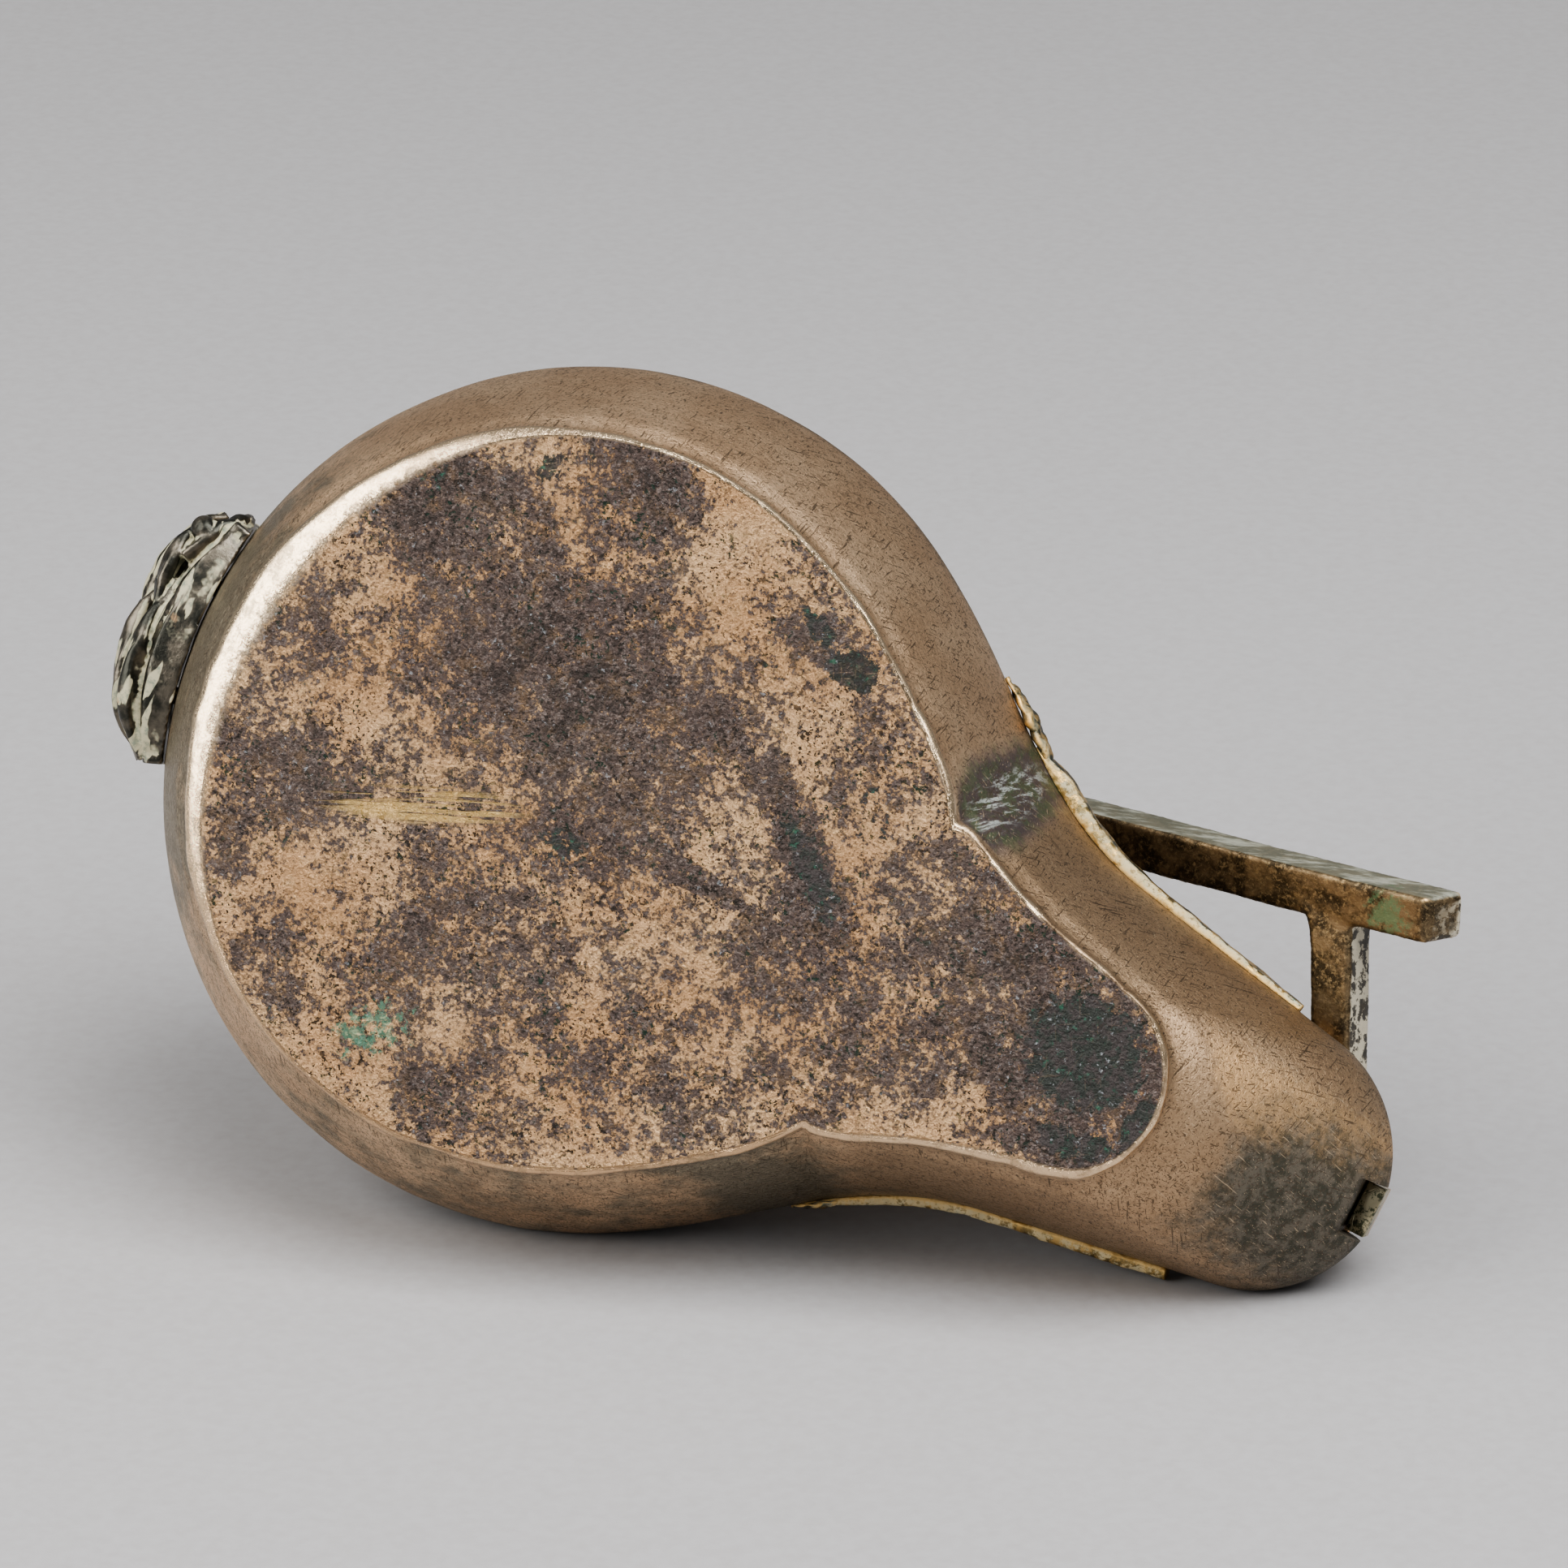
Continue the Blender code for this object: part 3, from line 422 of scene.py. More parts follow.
def make_bowl():
    bowl = bowl_surface()
    bowl = cut_notch(bowl)
    co = points_of(bowl)
    z = co[:, 2]
    outside = outline_distance(co[:, 0], co[:, 1], RIM) > -0.5 - (BOWL_TOP - z) * 0.62 - SHOULDER_IN
    foot = step(-z, -0.25, -0.02)
    wall = outside * (1 - foot)
    dents = fractal(co, 9.0, 3, 11) * 0.05
    pits = np.minimum(fractal(co, 1.5, 2, 21) + 0.75, 0) * 0.16
    raised = np.maximum(fractal(co, 3.0, 2, 31) - 0.4, 0) * 0.06
    rough = step(blobs(co, TARNISH), 0.25, 0.8)
    push(bowl,
         foot * (dents * 0.6 - raised * 0.4 + pits * (0.5 + 0.5 * rough)) + wall * dents * 1.2)
    near_foot = step(-z, -1.5, 0.0)
    # Besides wear and stains, these masks place painted light: painted highlights on the polished
    # edge and along the nozzle, and painted shade on the neck, the lower side, the wall under the
    # waist and the waist's crease.
    masks = {
        "tarnish": blobs(co, TARNISH) * step(-z, -4.0, 0.0), "foot": foot_part(co),
        "edge": edge_part(co), "rear": rear_tone_and_under_shade(co), "crust": blobs(co, GREEN_CRUST) * near_foot,
        "bloom": blobs(co, GREEN_BLOOM) * near_foot, "waist_shade_and_streaks": waist_crease_shade_and_streaks(co),
        "nozzle": nozzle_dark(co), "painted_highlight": nozzle_highlight_band(co), "edge_highlight": painted_edge_highlight(co),
        "neck": step(co[:, 0], 38.0, 46.0), "scored": blobs(co, SCORED) * near_foot,
    }
    for name, values in masks.items():
        mask(bowl, name, values)
    return piece(bowl, "base", "bronze", "bowl")


def waist_crease_shade_and_streaks(co):
    """The hollow of the right waist: painted shade darkens its crease, and pale and green streaks
    are rubbed in.
    """
    near = np.hypot((co[:, 0] - 39.5) / 5.0, (co[:, 1] + 20.0) / 8.0)
    return np.clip(1.3 - near, 0, 1) * step(co[:, 2], 0.6, 2.0)


def edge_share(co):
    """How far round the foot's edge a point is: 0 on the face, 1 where the wall starts."""
    return co[:, 2] / edge_wear(co[:, 0], co[:, 1])[1]


def foot_part(co):
    """1 on the foot's face. Its border wanders a little over the edge."""
    wander = fractal(co, 2.0, 3, 71) * 0.05
    return step(-edge_share(co) + wander, -0.22, -0.05)


def edge_part(co):
    """1 on the polished edge, with gaps where it is worn dull along the neck's right side."""
    share = edge_share(co)
    band = step(share, 0.01, 0.08) * step(-share, -1.25, -0.8)
    dull = np.exp(-((co[:, 0] - 50) / 16.0) ** 2) * (co[:, 1] < 0)
    return band * np.clip(1.0 - dull * (0.45 + fractal(co, 2.0, 2, 73)), 0, 1)


def painted_edge_highlight(co):
    """Where a painted highlight lies on the polished edge: at the rear, and along the right side.
    """
    angle = np.arctan2(co[:, 1], co[:, 0])
    rear = np.clip(np.cos(angle - radians(190)), 0, 1) ** 1.5
    right_side = np.clip(np.cos(angle + radians(62)), 0, 1) ** 0.5
    return np.maximum(rear, right_side * 0.9)


def rear_tone_and_under_shade(co):
    """The grey-green rear wall beside the leaf, and painted shade on the wall under the waist and
    on the lower side that faces the table.
    """
    angle = np.degrees(np.arctan2(co[:, 1], co[:, 0])) % 360
    rear = np.clip(1.4 - np.abs(angle - 168) / 44, 0, 1)
    # Painted shade: the wall under the waist and the lower side, which face the table, are darkened
    # like the rear.
    under = np.clip(1.35 - np.hypot((co[:, 0] - 34) / 16, (co[:, 1] - 24) / 8), 0, 1)
    low_side_shade = 0.62 * step(co[:, 1] + 0.25 * co[:, 0], 22.0, 38.0) * (co[:, 0] < 30)
    return np.maximum(np.maximum(rear, under), low_side_shade)


def nozzle_dark(co):
    """The darkened underside of the nozzle's tip, strongest towards its left side."""
    near = np.hypot((co[:, 0] - 85.0) / 17.0, (co[:, 1] - 2.5) / 12.5)
    return np.clip(1.35 - near, 0, 1) * step(co[:, 2], 3.0, 7.0)


def nozzle_highlight_band(co):
    """A painted highlight: a golden band along the nozzle, right of the dark tip."""
    across = co[:, 1] + 6.5 - (co[:, 0] - 70.0) * 0.10
    return np.exp(-(across / 4.0) ** 2) * step(co[:, 0], 60.0, 68.0) * step(co[:, 2], 2.0, 6.0)


def cut_notch(bowl):
    depth, width, height = NOTCH
    half = width / 2
    corners = [(TIP - depth, TIP + 4), (-half, half), (BOWL_TOP - height, BOWL_TOP + 2)]
    low = [c[0] for c in corners]
    high = [c[1] for c in corners]
    ring = [(low[0], low[1]), (high[0], low[1]), (high[0], high[1]), (low[0], high[1])]
    tool = loft("notch_tool", [[(x, y, low[2]) for x, y in ring],
                               [(x, y, high[2]) for x, y in ring]])
    cut = bowl.modifiers.new("notch", "BOOLEAN")
    cut.operation = "DIFFERENCE"
    cut.solver = "EXACT"
    cut.object = tool
    apply_modifiers(bowl)
    bpy.data.objects.remove(tool)
    return bowl


# ---------------------------------------------------------------- borders, scrolls and leaf
BORDER_PROUD = {1: (0.7, 1.1), -1: (1.5, 0.45)}


def make_border(side):
    """The proud strip along one side of the neck, with a lumpy crust on its underside."""
    fine = stations(200, 700, 40)
    picked = [ray for ray in fine if ray[0] > 0 and ray[1] > 0]
    picked = np.array([ray for ray in picked if 38.0 < outline(RIM, ray[None, :])[0, 0] < 73.0])
    count = len(picked)
    share = np.linspace(0, 1, count)
    if outline(RIM, picked[:1])[0, 0] > outline(RIM, picked[-1:])[0, 0]:
        share = share[::-1]
    proud = BORDER_PROUD[side][0] * (1 - share) + BORDER_PROUD[side][1] * share
    proud = proud * step(share, -0.02, 0.16) + 0.12
    section = [(0.0, 19.9), (0.35, 19.95), (0.75, 20.1), (0.95, 20.35), (1.0, 20.7), (1.0, 21.5),
               (1.0, 22.3), (0.9, 22.55), (0.6, 22.75), (0.3, 22.85), (0.0, 22.9)]
    columns = []
    for out, z in section:
        tuck = -0.05 if z < 21.0 else 0.5
        xy = outline(RIM, picked, tuck * (1 - out) - proud * out)
        columns.append(level(xy * np.array([1, side]), z))
    rings = np.stack(columns, axis=1)
    name = "border_left" if side > 0 else "border_right"
    strip = loft(name + "_crusted", list(rings))
    co = points_of(strip)
    push(strip, fractal(co, 1.6, 3, 41) * 0.09 * step(co[:, 2], 19.0, 20.5))
    return piece(strip, "base", "bronze_trim", name)


def lock(name, path, radii, flat=0.6, sides=18, twist=0.0):
    """A tapering lock of the carved ornaments: an oval swept along a smooth path."""
    path = smooth_path(path, 10)
    radii = np.interp(np.linspace(0, 1, len(path)), np.linspace(0, 1, len(radii)), radii)
    rings = []
    for i, point in enumerate(path):
        along = (path[min(i + 1, len(path) - 1)] - path[max(i - 1, 0)]).normalized()
        out = Vector((point.x, point.y, 0)).normalized()
        across = along.cross(out).normalized()
        out = across.cross(along).normalized()
        ring = []
        for k in range(sides):
            angle = 2 * pi * k / sides + twist
            wide = radii[i] * cos(angle)
            high = radii[i] * flat * sin(angle)
            ring.append(point + across * wide + out * high)
        rings.append(ring)
    return loft(name, rings)


def smooth_path(points, per_span):
    points = [Vector(p) for p in points]
    ends = [points[0] * 2 - points[1]] + points + [points[-1] * 2 - points[-2]]
    path = []
    for i in range(1, len(ends) - 2):
        a, b, c, d = ends[i - 1:i + 3]
        for k in range(per_span):
            t = k / per_span
            path.append(0.5 * (2 * b + (c - a) * t + (2 * a - 5 * b + 4 * c - d) * t * t
                               + (3 * b - a - 3 * c + d) * t ** 3))
    path.append(points[-1])
    return path


def around(angle, radius, z):
    return (radius * cos(radians(angle)), radius * sin(radians(angle)), z)


def wall_radius(z):
    return wall_shape(np.minimum(z, RIM_Z))["round"]


def make_rear_leaf():
    """Layered locks that sweep round the rear, thick over the rim, with a small boss."""
    parts = []
    rings = []
    for i in range(25):
        share = i / 24
        angle = 157.5 + 34 * share
        swell = sin(pi * min(max(share, 0.04), 0.96)) ** 0.45
        low = 12.7 + 3.4 * (1 - swell)
        high = 26.6 - 3.2 * (1 - swell)
        heights = np.linspace(low, high, 12)
        inner = [(float(wall_radius(z)) + GAP, z) for z in heights]
        belly = np.sin(pi * np.linspace(0.06, 0.94, 12)) ** 0.6
        outer = [(43.6 + 3.6 * swell * b, z) for b, z in zip(belly, heights)]
        rings.append([around(angle, r, z) for r, z in inner + outer[::-1]])
    parts.append(loft("leaf_core", rings))
    sweeps = [([(158.5, 44.6, 15.6), (165, 46.6, 14.6), (173, 47.0, 14.8), (181, 46.4, 16.0)],
               (0.9, 1.7, 1.5, 0.7)), ([(158.0, 45.4, 18.4), (165, 48.0, 17.2), (174, 48.6, 17.2),
                                        (183, 47.4, 18.6)], (0.9, 1.6, 1.8, 0.7)),
              ([(158.6, 46.0, 21.4), (166, 48.7, 20.6), (176, 49.2, 20.4), (187, 47.8, 21.6)],
               (0.9, 1.6, 1.7, 0.8)), ([(160.0, 45.6, 24.0), (168, 48.0, 23.8), (178, 48.6, 23.6),
                                        (188, 47.2, 24.2)], (0.8, 1.4, 1.5, 0.8)),
              ([(163.0, 45.0, 25.6), (171, 46.6, 25.8), (180, 46.8, 25.6), (188, 45.8, 25.4)],
               (0.7, 1.1, 1.2, 0.7)), ([(176.0, 47.0, 15.4), (182, 47.8, 16.0), (187, 47.6, 17.6),
                                        (190, 46.4, 19.6)], (0.7, 1.5, 1.6, 1.2)),
              ([(184.0, 46.6, 14.8), (188, 45.6, 15.8), (190.5, 44.6, 17.6), (191.5, 44.2, 20.0)],
               (1.0, 1.5, 1.5, 1.0)), ([(172.0, 48.2, 19.0), (179, 49.0, 18.6), (185, 48.6, 19.0),
                                        (190, 46.8, 21.0)], (0.6, 1.4, 1.4, 1.1))]
    for i, (path, radii) in enumerate(sweeps):
        parts.append(lock(f"leaf_lock_{i}", [around(*p) for p in path], radii))
    boss = turned("leaf_boss", [(0, 1.3), (0.8, 1.1), (1.25, 0.5), (1.3, 0), (1.2, -1.5),
                                (0, -1.6)], 24)
    parts.append(place(boss, around(188.2, 46.6, 15.6), (-0.8, -0.1, -0.6)))
    leaf = fuse("rear_leaf_carved", parts, 0.22, 1)
    co = points_of(leaf)
    radius = np.hypot(co[:, 0], co[:, 1])
    limit = wall_radius(co[:, 2]) + 0.2
    inward = np.maximum(limit - radius, 0)
    ways = np.column_stack([co[:, 0] / radius, co[:, 1] / radius, np.zeros(len(co))])
    turn = np.degrees(np.arctan2(co[:, 1], co[:, 0]))
    fluted = np.sin(co[:, 2] * 3.0 + turn * 0.30 + fractal(co, 5.0, 2, 3) * 2)
    grain = fluted * 0.16 + fractal(co, 1.6, 2, 8) * 0.05
    co += ways * (inward + grain * (radius > 44.0))[:, None]
    set_points(leaf, co)
    return piece(leaf, "base", "leaf_bronze", "rear_leaf")


def make_scroll(side):
    """A small curl of overlapping leaves at the waist, close against the rim."""
    first, last = {1: (35.5, 28.6), -1: (43.0, 29.8)}[side]
    proud = {1: 0.8, -1: 1.25}[side]
    rings = []
    steps = 40
    for i in range(steps):
        share = i / (steps - 1)
        angle = radians(first + (last - first) * share)
        swell = sin(pi * min(max(share, 0.05), 0.95)) ** 0.6
        frill = 0.82 + 0.18 * abs(sin(pi * 3.5 * share))
        ring = []
        for k in range(20):
            turn = 2 * pi * k / 20
            out = proud * swell * frill * (0.5 + 0.5 * cos(turn)) - 0.05
            z = 21.3 + 2.1 * swell * frill * sin(turn)
            xy = outline(RIM, np.array([[0.0, angle]]), -out)[0]
            ring.append((xy[0], xy[1] * side, z))
        rings.append(ring)
    name = "scroll_left" if side > 0 else "scroll_right"
    scroll = loft(name + "_carved", rings)
    co = points_of(scroll)
    push(scroll, np.sin(co[:, 0] * 4.0 + co[:, 2] * 2.6) * 0.09 + fractal(co, 0.9, 2, 9) * 0.08)
    return piece(scroll, "base", "bronze_trim", name)


# ---------------------------------------------------------------- lid arm
ARM_PATH = [(3.5, -1.7, 52.8), (12.0, -6.3, 52.4), (24.6, -12.9, 47.4), (34.9, -16.8, 41.6),
            (43.2, -19.4, 37.6), (63.7, -24.3, 29.5), (81.2, -28.7, 22.0)]
ARM_W = 4.7
ARM_ROLL = radians(-18)
END_TILT = 0.3
BRANCH_ROOT = (70.2, -26.8, 26.8)
BRANCH_FOOT = (81.9, -3.0, 28.6)
BRANCH_ROLL = radians(-20)
DECK_TOP = 25.0
CROWN_Z = 50.0


def bar_section(center, along, width, depth, roll, radius, tilt=0.0):
    """A rounded rectangle across a bar, with a slight crown on its faces."""
    side = along.cross(Vector((0, 0, 1))).normalized()
    up = side.cross(along).normalized()
    side, up = side * cos(roll) + up * sin(roll), up * cos(roll) - side * sin(roll)
    ring = []
    for quarter in range(4):
        sx = (1, -1, -1, 1)[quarter]
        sy = (1, 1, -1, -1)[quarter]
        for k in range(5):
            angle = radians(90) * (quarter + k / 4)
            x = sx * (width / 2 - radius) + radius * cos(angle)
            y = sy * (depth / 2 - radius) + radius * sin(angle)
            ring.append(center + side * x + up * y + along * (tilt * y))
    return ring


def make_lid_arm():
    path = smooth_path(ARM_PATH, 16)
    rings = []
    for i, point in enumerate(path):
        along = (path[min(i + 1, len(path) - 1)] - path[max(i - 1, 0)]).normalized()
        roll = ARM_ROLL * min(max((i - 32) / 32, 0.0), 1.0)
        rings.append(bar_section(point, along, ARM_W, ARM_W, roll, 0.4))
    along = (path[-1] - path[-2]).normalized()
    rings[-1] = bar_section(path[-1], along, ARM_W, ARM_W, ARM_ROLL, 0.45, END_TILT)
    rings.append(bar_section(path[-1] + along * 0.5, along, ARM_W - 1, ARM_W - 1, ARM_ROLL, 0.5,
                             END_TILT))
    parts = [loft("arm_bar", rings)]
    root = Vector(BRANCH_ROOT)
    foot = Vector(BRANCH_FOOT)
    along = (foot - root).normalized()
    rings = []
    for share, wide in ((0, 8.6), (0.06, 6.9), (0.11, 5.6), (0.16, 4.9), (0.22, 4.6), (0.5, 4.4),
                        (0.8, 4.1), (1, 4.0)):
        rings.append(bar_section(root.lerp(foot, share), along, wide, 4.5, BRANCH_ROLL, 0.4))
    parts.append(loft("arm_branch", rings))
    pad = [(0, foot.z - DECK_TOP - GAP), (2.5, foot.z - DECK_TOP - GAP), (2.6, 0), (0, 0)]
    parts.append(place(turned("arm_pad", pad, 32), (foot.x, foot.y, DECK_TOP + GAP)))
    eye = [(0, 5.0), (4.6, 5.0), (5.2, 4.5), (5.2, 0.4), (4.8, 0), (0, 0)]
    parts.append(place(turned("arm_eye", eye, 64), (0, 0, CROWN_Z + GAP)))
    arm = fuse("lid_arm_cast", parts, 0.3, 2)
    co = points_of(arm)
    push(arm, fractal(co, 6.0, 3, 51) * 0.06 + fractal(co, 0.9, 2, 52) * 0.025)
    return piece(arm, "lid", "arm_bronze", "lid_arm")


# ---------------------------------------------------------------- turned pieces
HINGE = (-37.4, 0, 28.8)
PEN_X = 67.0
POT_SEAT = 29.3
BRACKET_RIVET_SPOTS = [(-35.8, 10.7), (-35.8, -10.7)]
SCREW_SPOTS = [(-27.0, 27.0), (-27.0, -27.0), (53.0, 13.2), (53.0, -13.2)]
LID_R = 33.0
LID_WALL = 2.0
SPRING_Z = 28.0
LID_POWER = 2.4


def dome_points(outset, steps):
    points = []
    for i in range(steps + 1):
        angle = radians(90) * (1 - i / steps)
        r = (LID_R + outset) * max(cos(angle), 0) ** (2 / LID_POWER)
        z = SPRING_Z + (CROWN_Z + outset - SPRING_Z) * sin(angle) ** (2 / LID_POWER)
        points.append((r, z))
    return points


def make_lid_dome():
    """The dome, with two turned beads above its foot and a raised ring round the crown."""
    base = DECK_TOP + GAP
    outer = [p for p in dome_points(0.0, 60) if p[0] > 3.0]
    beaded = []
    for r, z in outer:
        bead = 0.35 * np.exp(-((z - 31.0) / 0.45) ** 2) + 0.35 * np.exp(-((z - 32.4) / 0.45) ** 2)
        bead += 0.4 * np.exp(-((r - 9.0) / 0.6) ** 2) * (z > 40)
        scale = 1 + bead / max(hypot(r, z - SPRING_Z), 1)
        beaded.append((r * scale, SPRING_Z + (z - SPRING_Z) * scale))
    inner = [p for p in dome_points(-LID_WALL, 24) if p[0] > 3.0][::-1]
    profile = [(2.0, CROWN_Z)] + beaded
    profile += [(LID_R + 0.7, base + 1.6), (LID_R + 0.75, base + 0.9), (LID_R + 0.7, base + 0.3),
                (LID_R + 0.3, base)]
    profile += [(LID_R - LID_WALL, base)] + inner + [(2.0, CROWN_Z - LID_WALL)]
    dome = turned("lid_dome_cast", profile, 180, True, 0.15)
    co = points_of(dome)
    push(dome, fractal(co, 12.0, 3, 61) * 0.05)
    return piece(dome, "lid", "bronze", "lid_dome")


def turned_piece(node, ending, profile, steps, body, slot, closed=False, fillet=0.25,
                 spot=None, way=None):
    made = turned(f"{node}_{ending}", profile, steps, closed, fillet)
    if spot is not None:
        place(made, spot, way)
    piece(made, body, slot, node)


def make_well_pieces():
    deck = DECK_TOP + GAP
    collar = [(22.0, 27.9), (25.5, 27.9), (26.0, 27.4), (26.0, deck + 1.3),
              (29.0, deck + 1.3), (29.4, deck + 0.9), (29.4, deck), (22.0, deck)]
    turned_piece("well_collar", "turned", collar, 144, "base", "bronze", True)
    washer = [(22.3, 29.0), (25.4, 29.0), (25.4, 28.2), (22.3, 28.2)]
    turned_piece("pot_washer", "cut", washer, 96, "base", "leather", True)
    seat = POT_SEAT
    pot = [(0, 11.4), (15.9, 11.4), (18.1, 12.3), (18.9, 14.4), (18.9, seat + 1.5),
           (19.4, seat + 2.6), (20.2, seat + 2.6), (20.8, seat + 1.5), (24.4, seat + 1.5),
           (25.0, seat + 0.9), (25.0, seat), (21.3, seat), (21.3, 12.0), (20.1, 9.8),
           (17.8, 9.0), (0, 9.0)]
    turned_piece("ink_pot", "glazed", pot, 144, "pot", "glazed_white", False, 0.5)
    ring = [(4.7, deck + 1.2), (5.4, deck + 1.8), (6.6, deck + 1.5), (7.8, deck + 0.5),
            (8.0, deck), (6.0, deck), (6.0, 21.2), (4.7, 21.2)]
    turned_piece("pen_ring", "turned", ring, 96, "base", "bronze_trim", True, spot=(PEN_X, 0, 0))


def make_fasteners():
    deck = DECK_TOP + GAP
    screw = [(0, deck + 1.1), (1.2, deck + 0.95), (2.0, deck + 0.4), (2.1, deck), (1.0, deck),
             (1.0, 15.5), (0, 15.5)]
    for i, (x, y) in enumerate(SCREW_SPOTS):
        turned_piece(f"deck_screw_{i + 1}", "turned", screw, 40, "base", "fastener",
                     spot=(x, y, 0))
    top = deck + 1.2 + GAP
    rivet = [(0, top + 1.0), (1.0, top + 0.8), (1.7, top), (1.0, top), (1.0, 23.3),
             (1.7, 23.3), (1.0, 22.6), (0, 22.5)]
    for i, (x, y) in enumerate(BRACKET_RIVET_SPOTS):
        turned_piece(f"bracket_rivet_{i + 1}", "turned", rivet, 32, "base", "fastener",
                     spot=(x, y, 0))
    pin = [(0, 8.6), (1.26, 8.4), (1.8, 7.7), (1.0, 7.7), (1.0, -7.7), (1.8, -7.7),
           (1.26, -8.4), (0, -8.6)]
    turned_piece("hinge_pin", "turned", pin, 48, "base", "fastener", spot=HINGE, way=(0, -1, 0))


def make_crown_pieces():
    low = CROWN_Z + 2 * GAP + 5.0
    top = low + 0.8
    washer = [(2.0, top), (4.4, top), (4.4, low), (2.0, low)]
    turned_piece("crown_washer", "turned", washer, 64, "lid", "fastener", True)
    head = CROWN_Z - LID_WALL - GAP
    stud = [(0, top + 5.0), (1.7, top + 5.0), (1.7, head), (4.2, head), (4.2, head - 1.0),
            (3.4, head - 1.5), (0, head - 1.5)]
    turned_piece("crown_stud", "turned", stud, 48, "lid", "fastener")
    base = top + GAP
    nut = [(0, 11.0), (1.1, 10.8), (1.9, 10.0), (2.1, 9.2), (1.7, 8.3), (1.3, 7.8),
           (2.6, 7.2), (3.6, 6.0), (3.8, 4.8), (3.3, 3.4), (2.6, 2.6), (3.9, 2.0),
           (4.2, 1.2), (4.0, 0), (2.0, 0), (2.0, 5.0), (0, 5.0)]
    nut = [(r, base + z) for r, z in nut]
    turned_piece("crown_nut", "turned", nut, 96, "lid", "bronze", False, 0.4)


def soften(node, body, slot, width):
    """A copy of a CAD node with its edges rounded, for a flat or boxy piece."""
    source = frame["nodes"][node]
    mesh = source.data.copy()
    obj = add_object(node + "_worn", mesh)
    bm = bmesh.new()
    bm.from_mesh(mesh)
    bmesh.ops.remove_doubles(bm, verts=bm.verts, dist=0.000005)
    bmesh.ops.dissolve_limit(bm, angle_limit=radians(1.0), verts=bm.verts, edges=bm.edges)
    bm.to_mesh(mesh)
    bm.free()
    mesh.materials.clear()
    bevel = obj.modifiers.new("edge", "BEVEL")
    bevel.width = width * MM
    bevel.segments = 3
    bevel.limit_method = "ANGLE"
    bevel.angle_limit = radians(40)
    bevel.harden_normals = True
    obj = apply_modifiers(obj)
    obj.data.set_sharp_from_angle(angle=radians(40))
    return piece(obj, body, slot, node)


def trim_lug(deck):
    """Brings the lug's outer face back level with the rim."""
    co = points_of(deck)
    co[:, 0] -= 0.15 * (co[:, 0] > TIP - 1.0)
    set_points(deck, co)


# ---------------------------------------------------------------- materials
def settle(node, values):
    """Sets a node's inputs by name."""
    for key, value in values.items():
        node.inputs[key].default_value = value


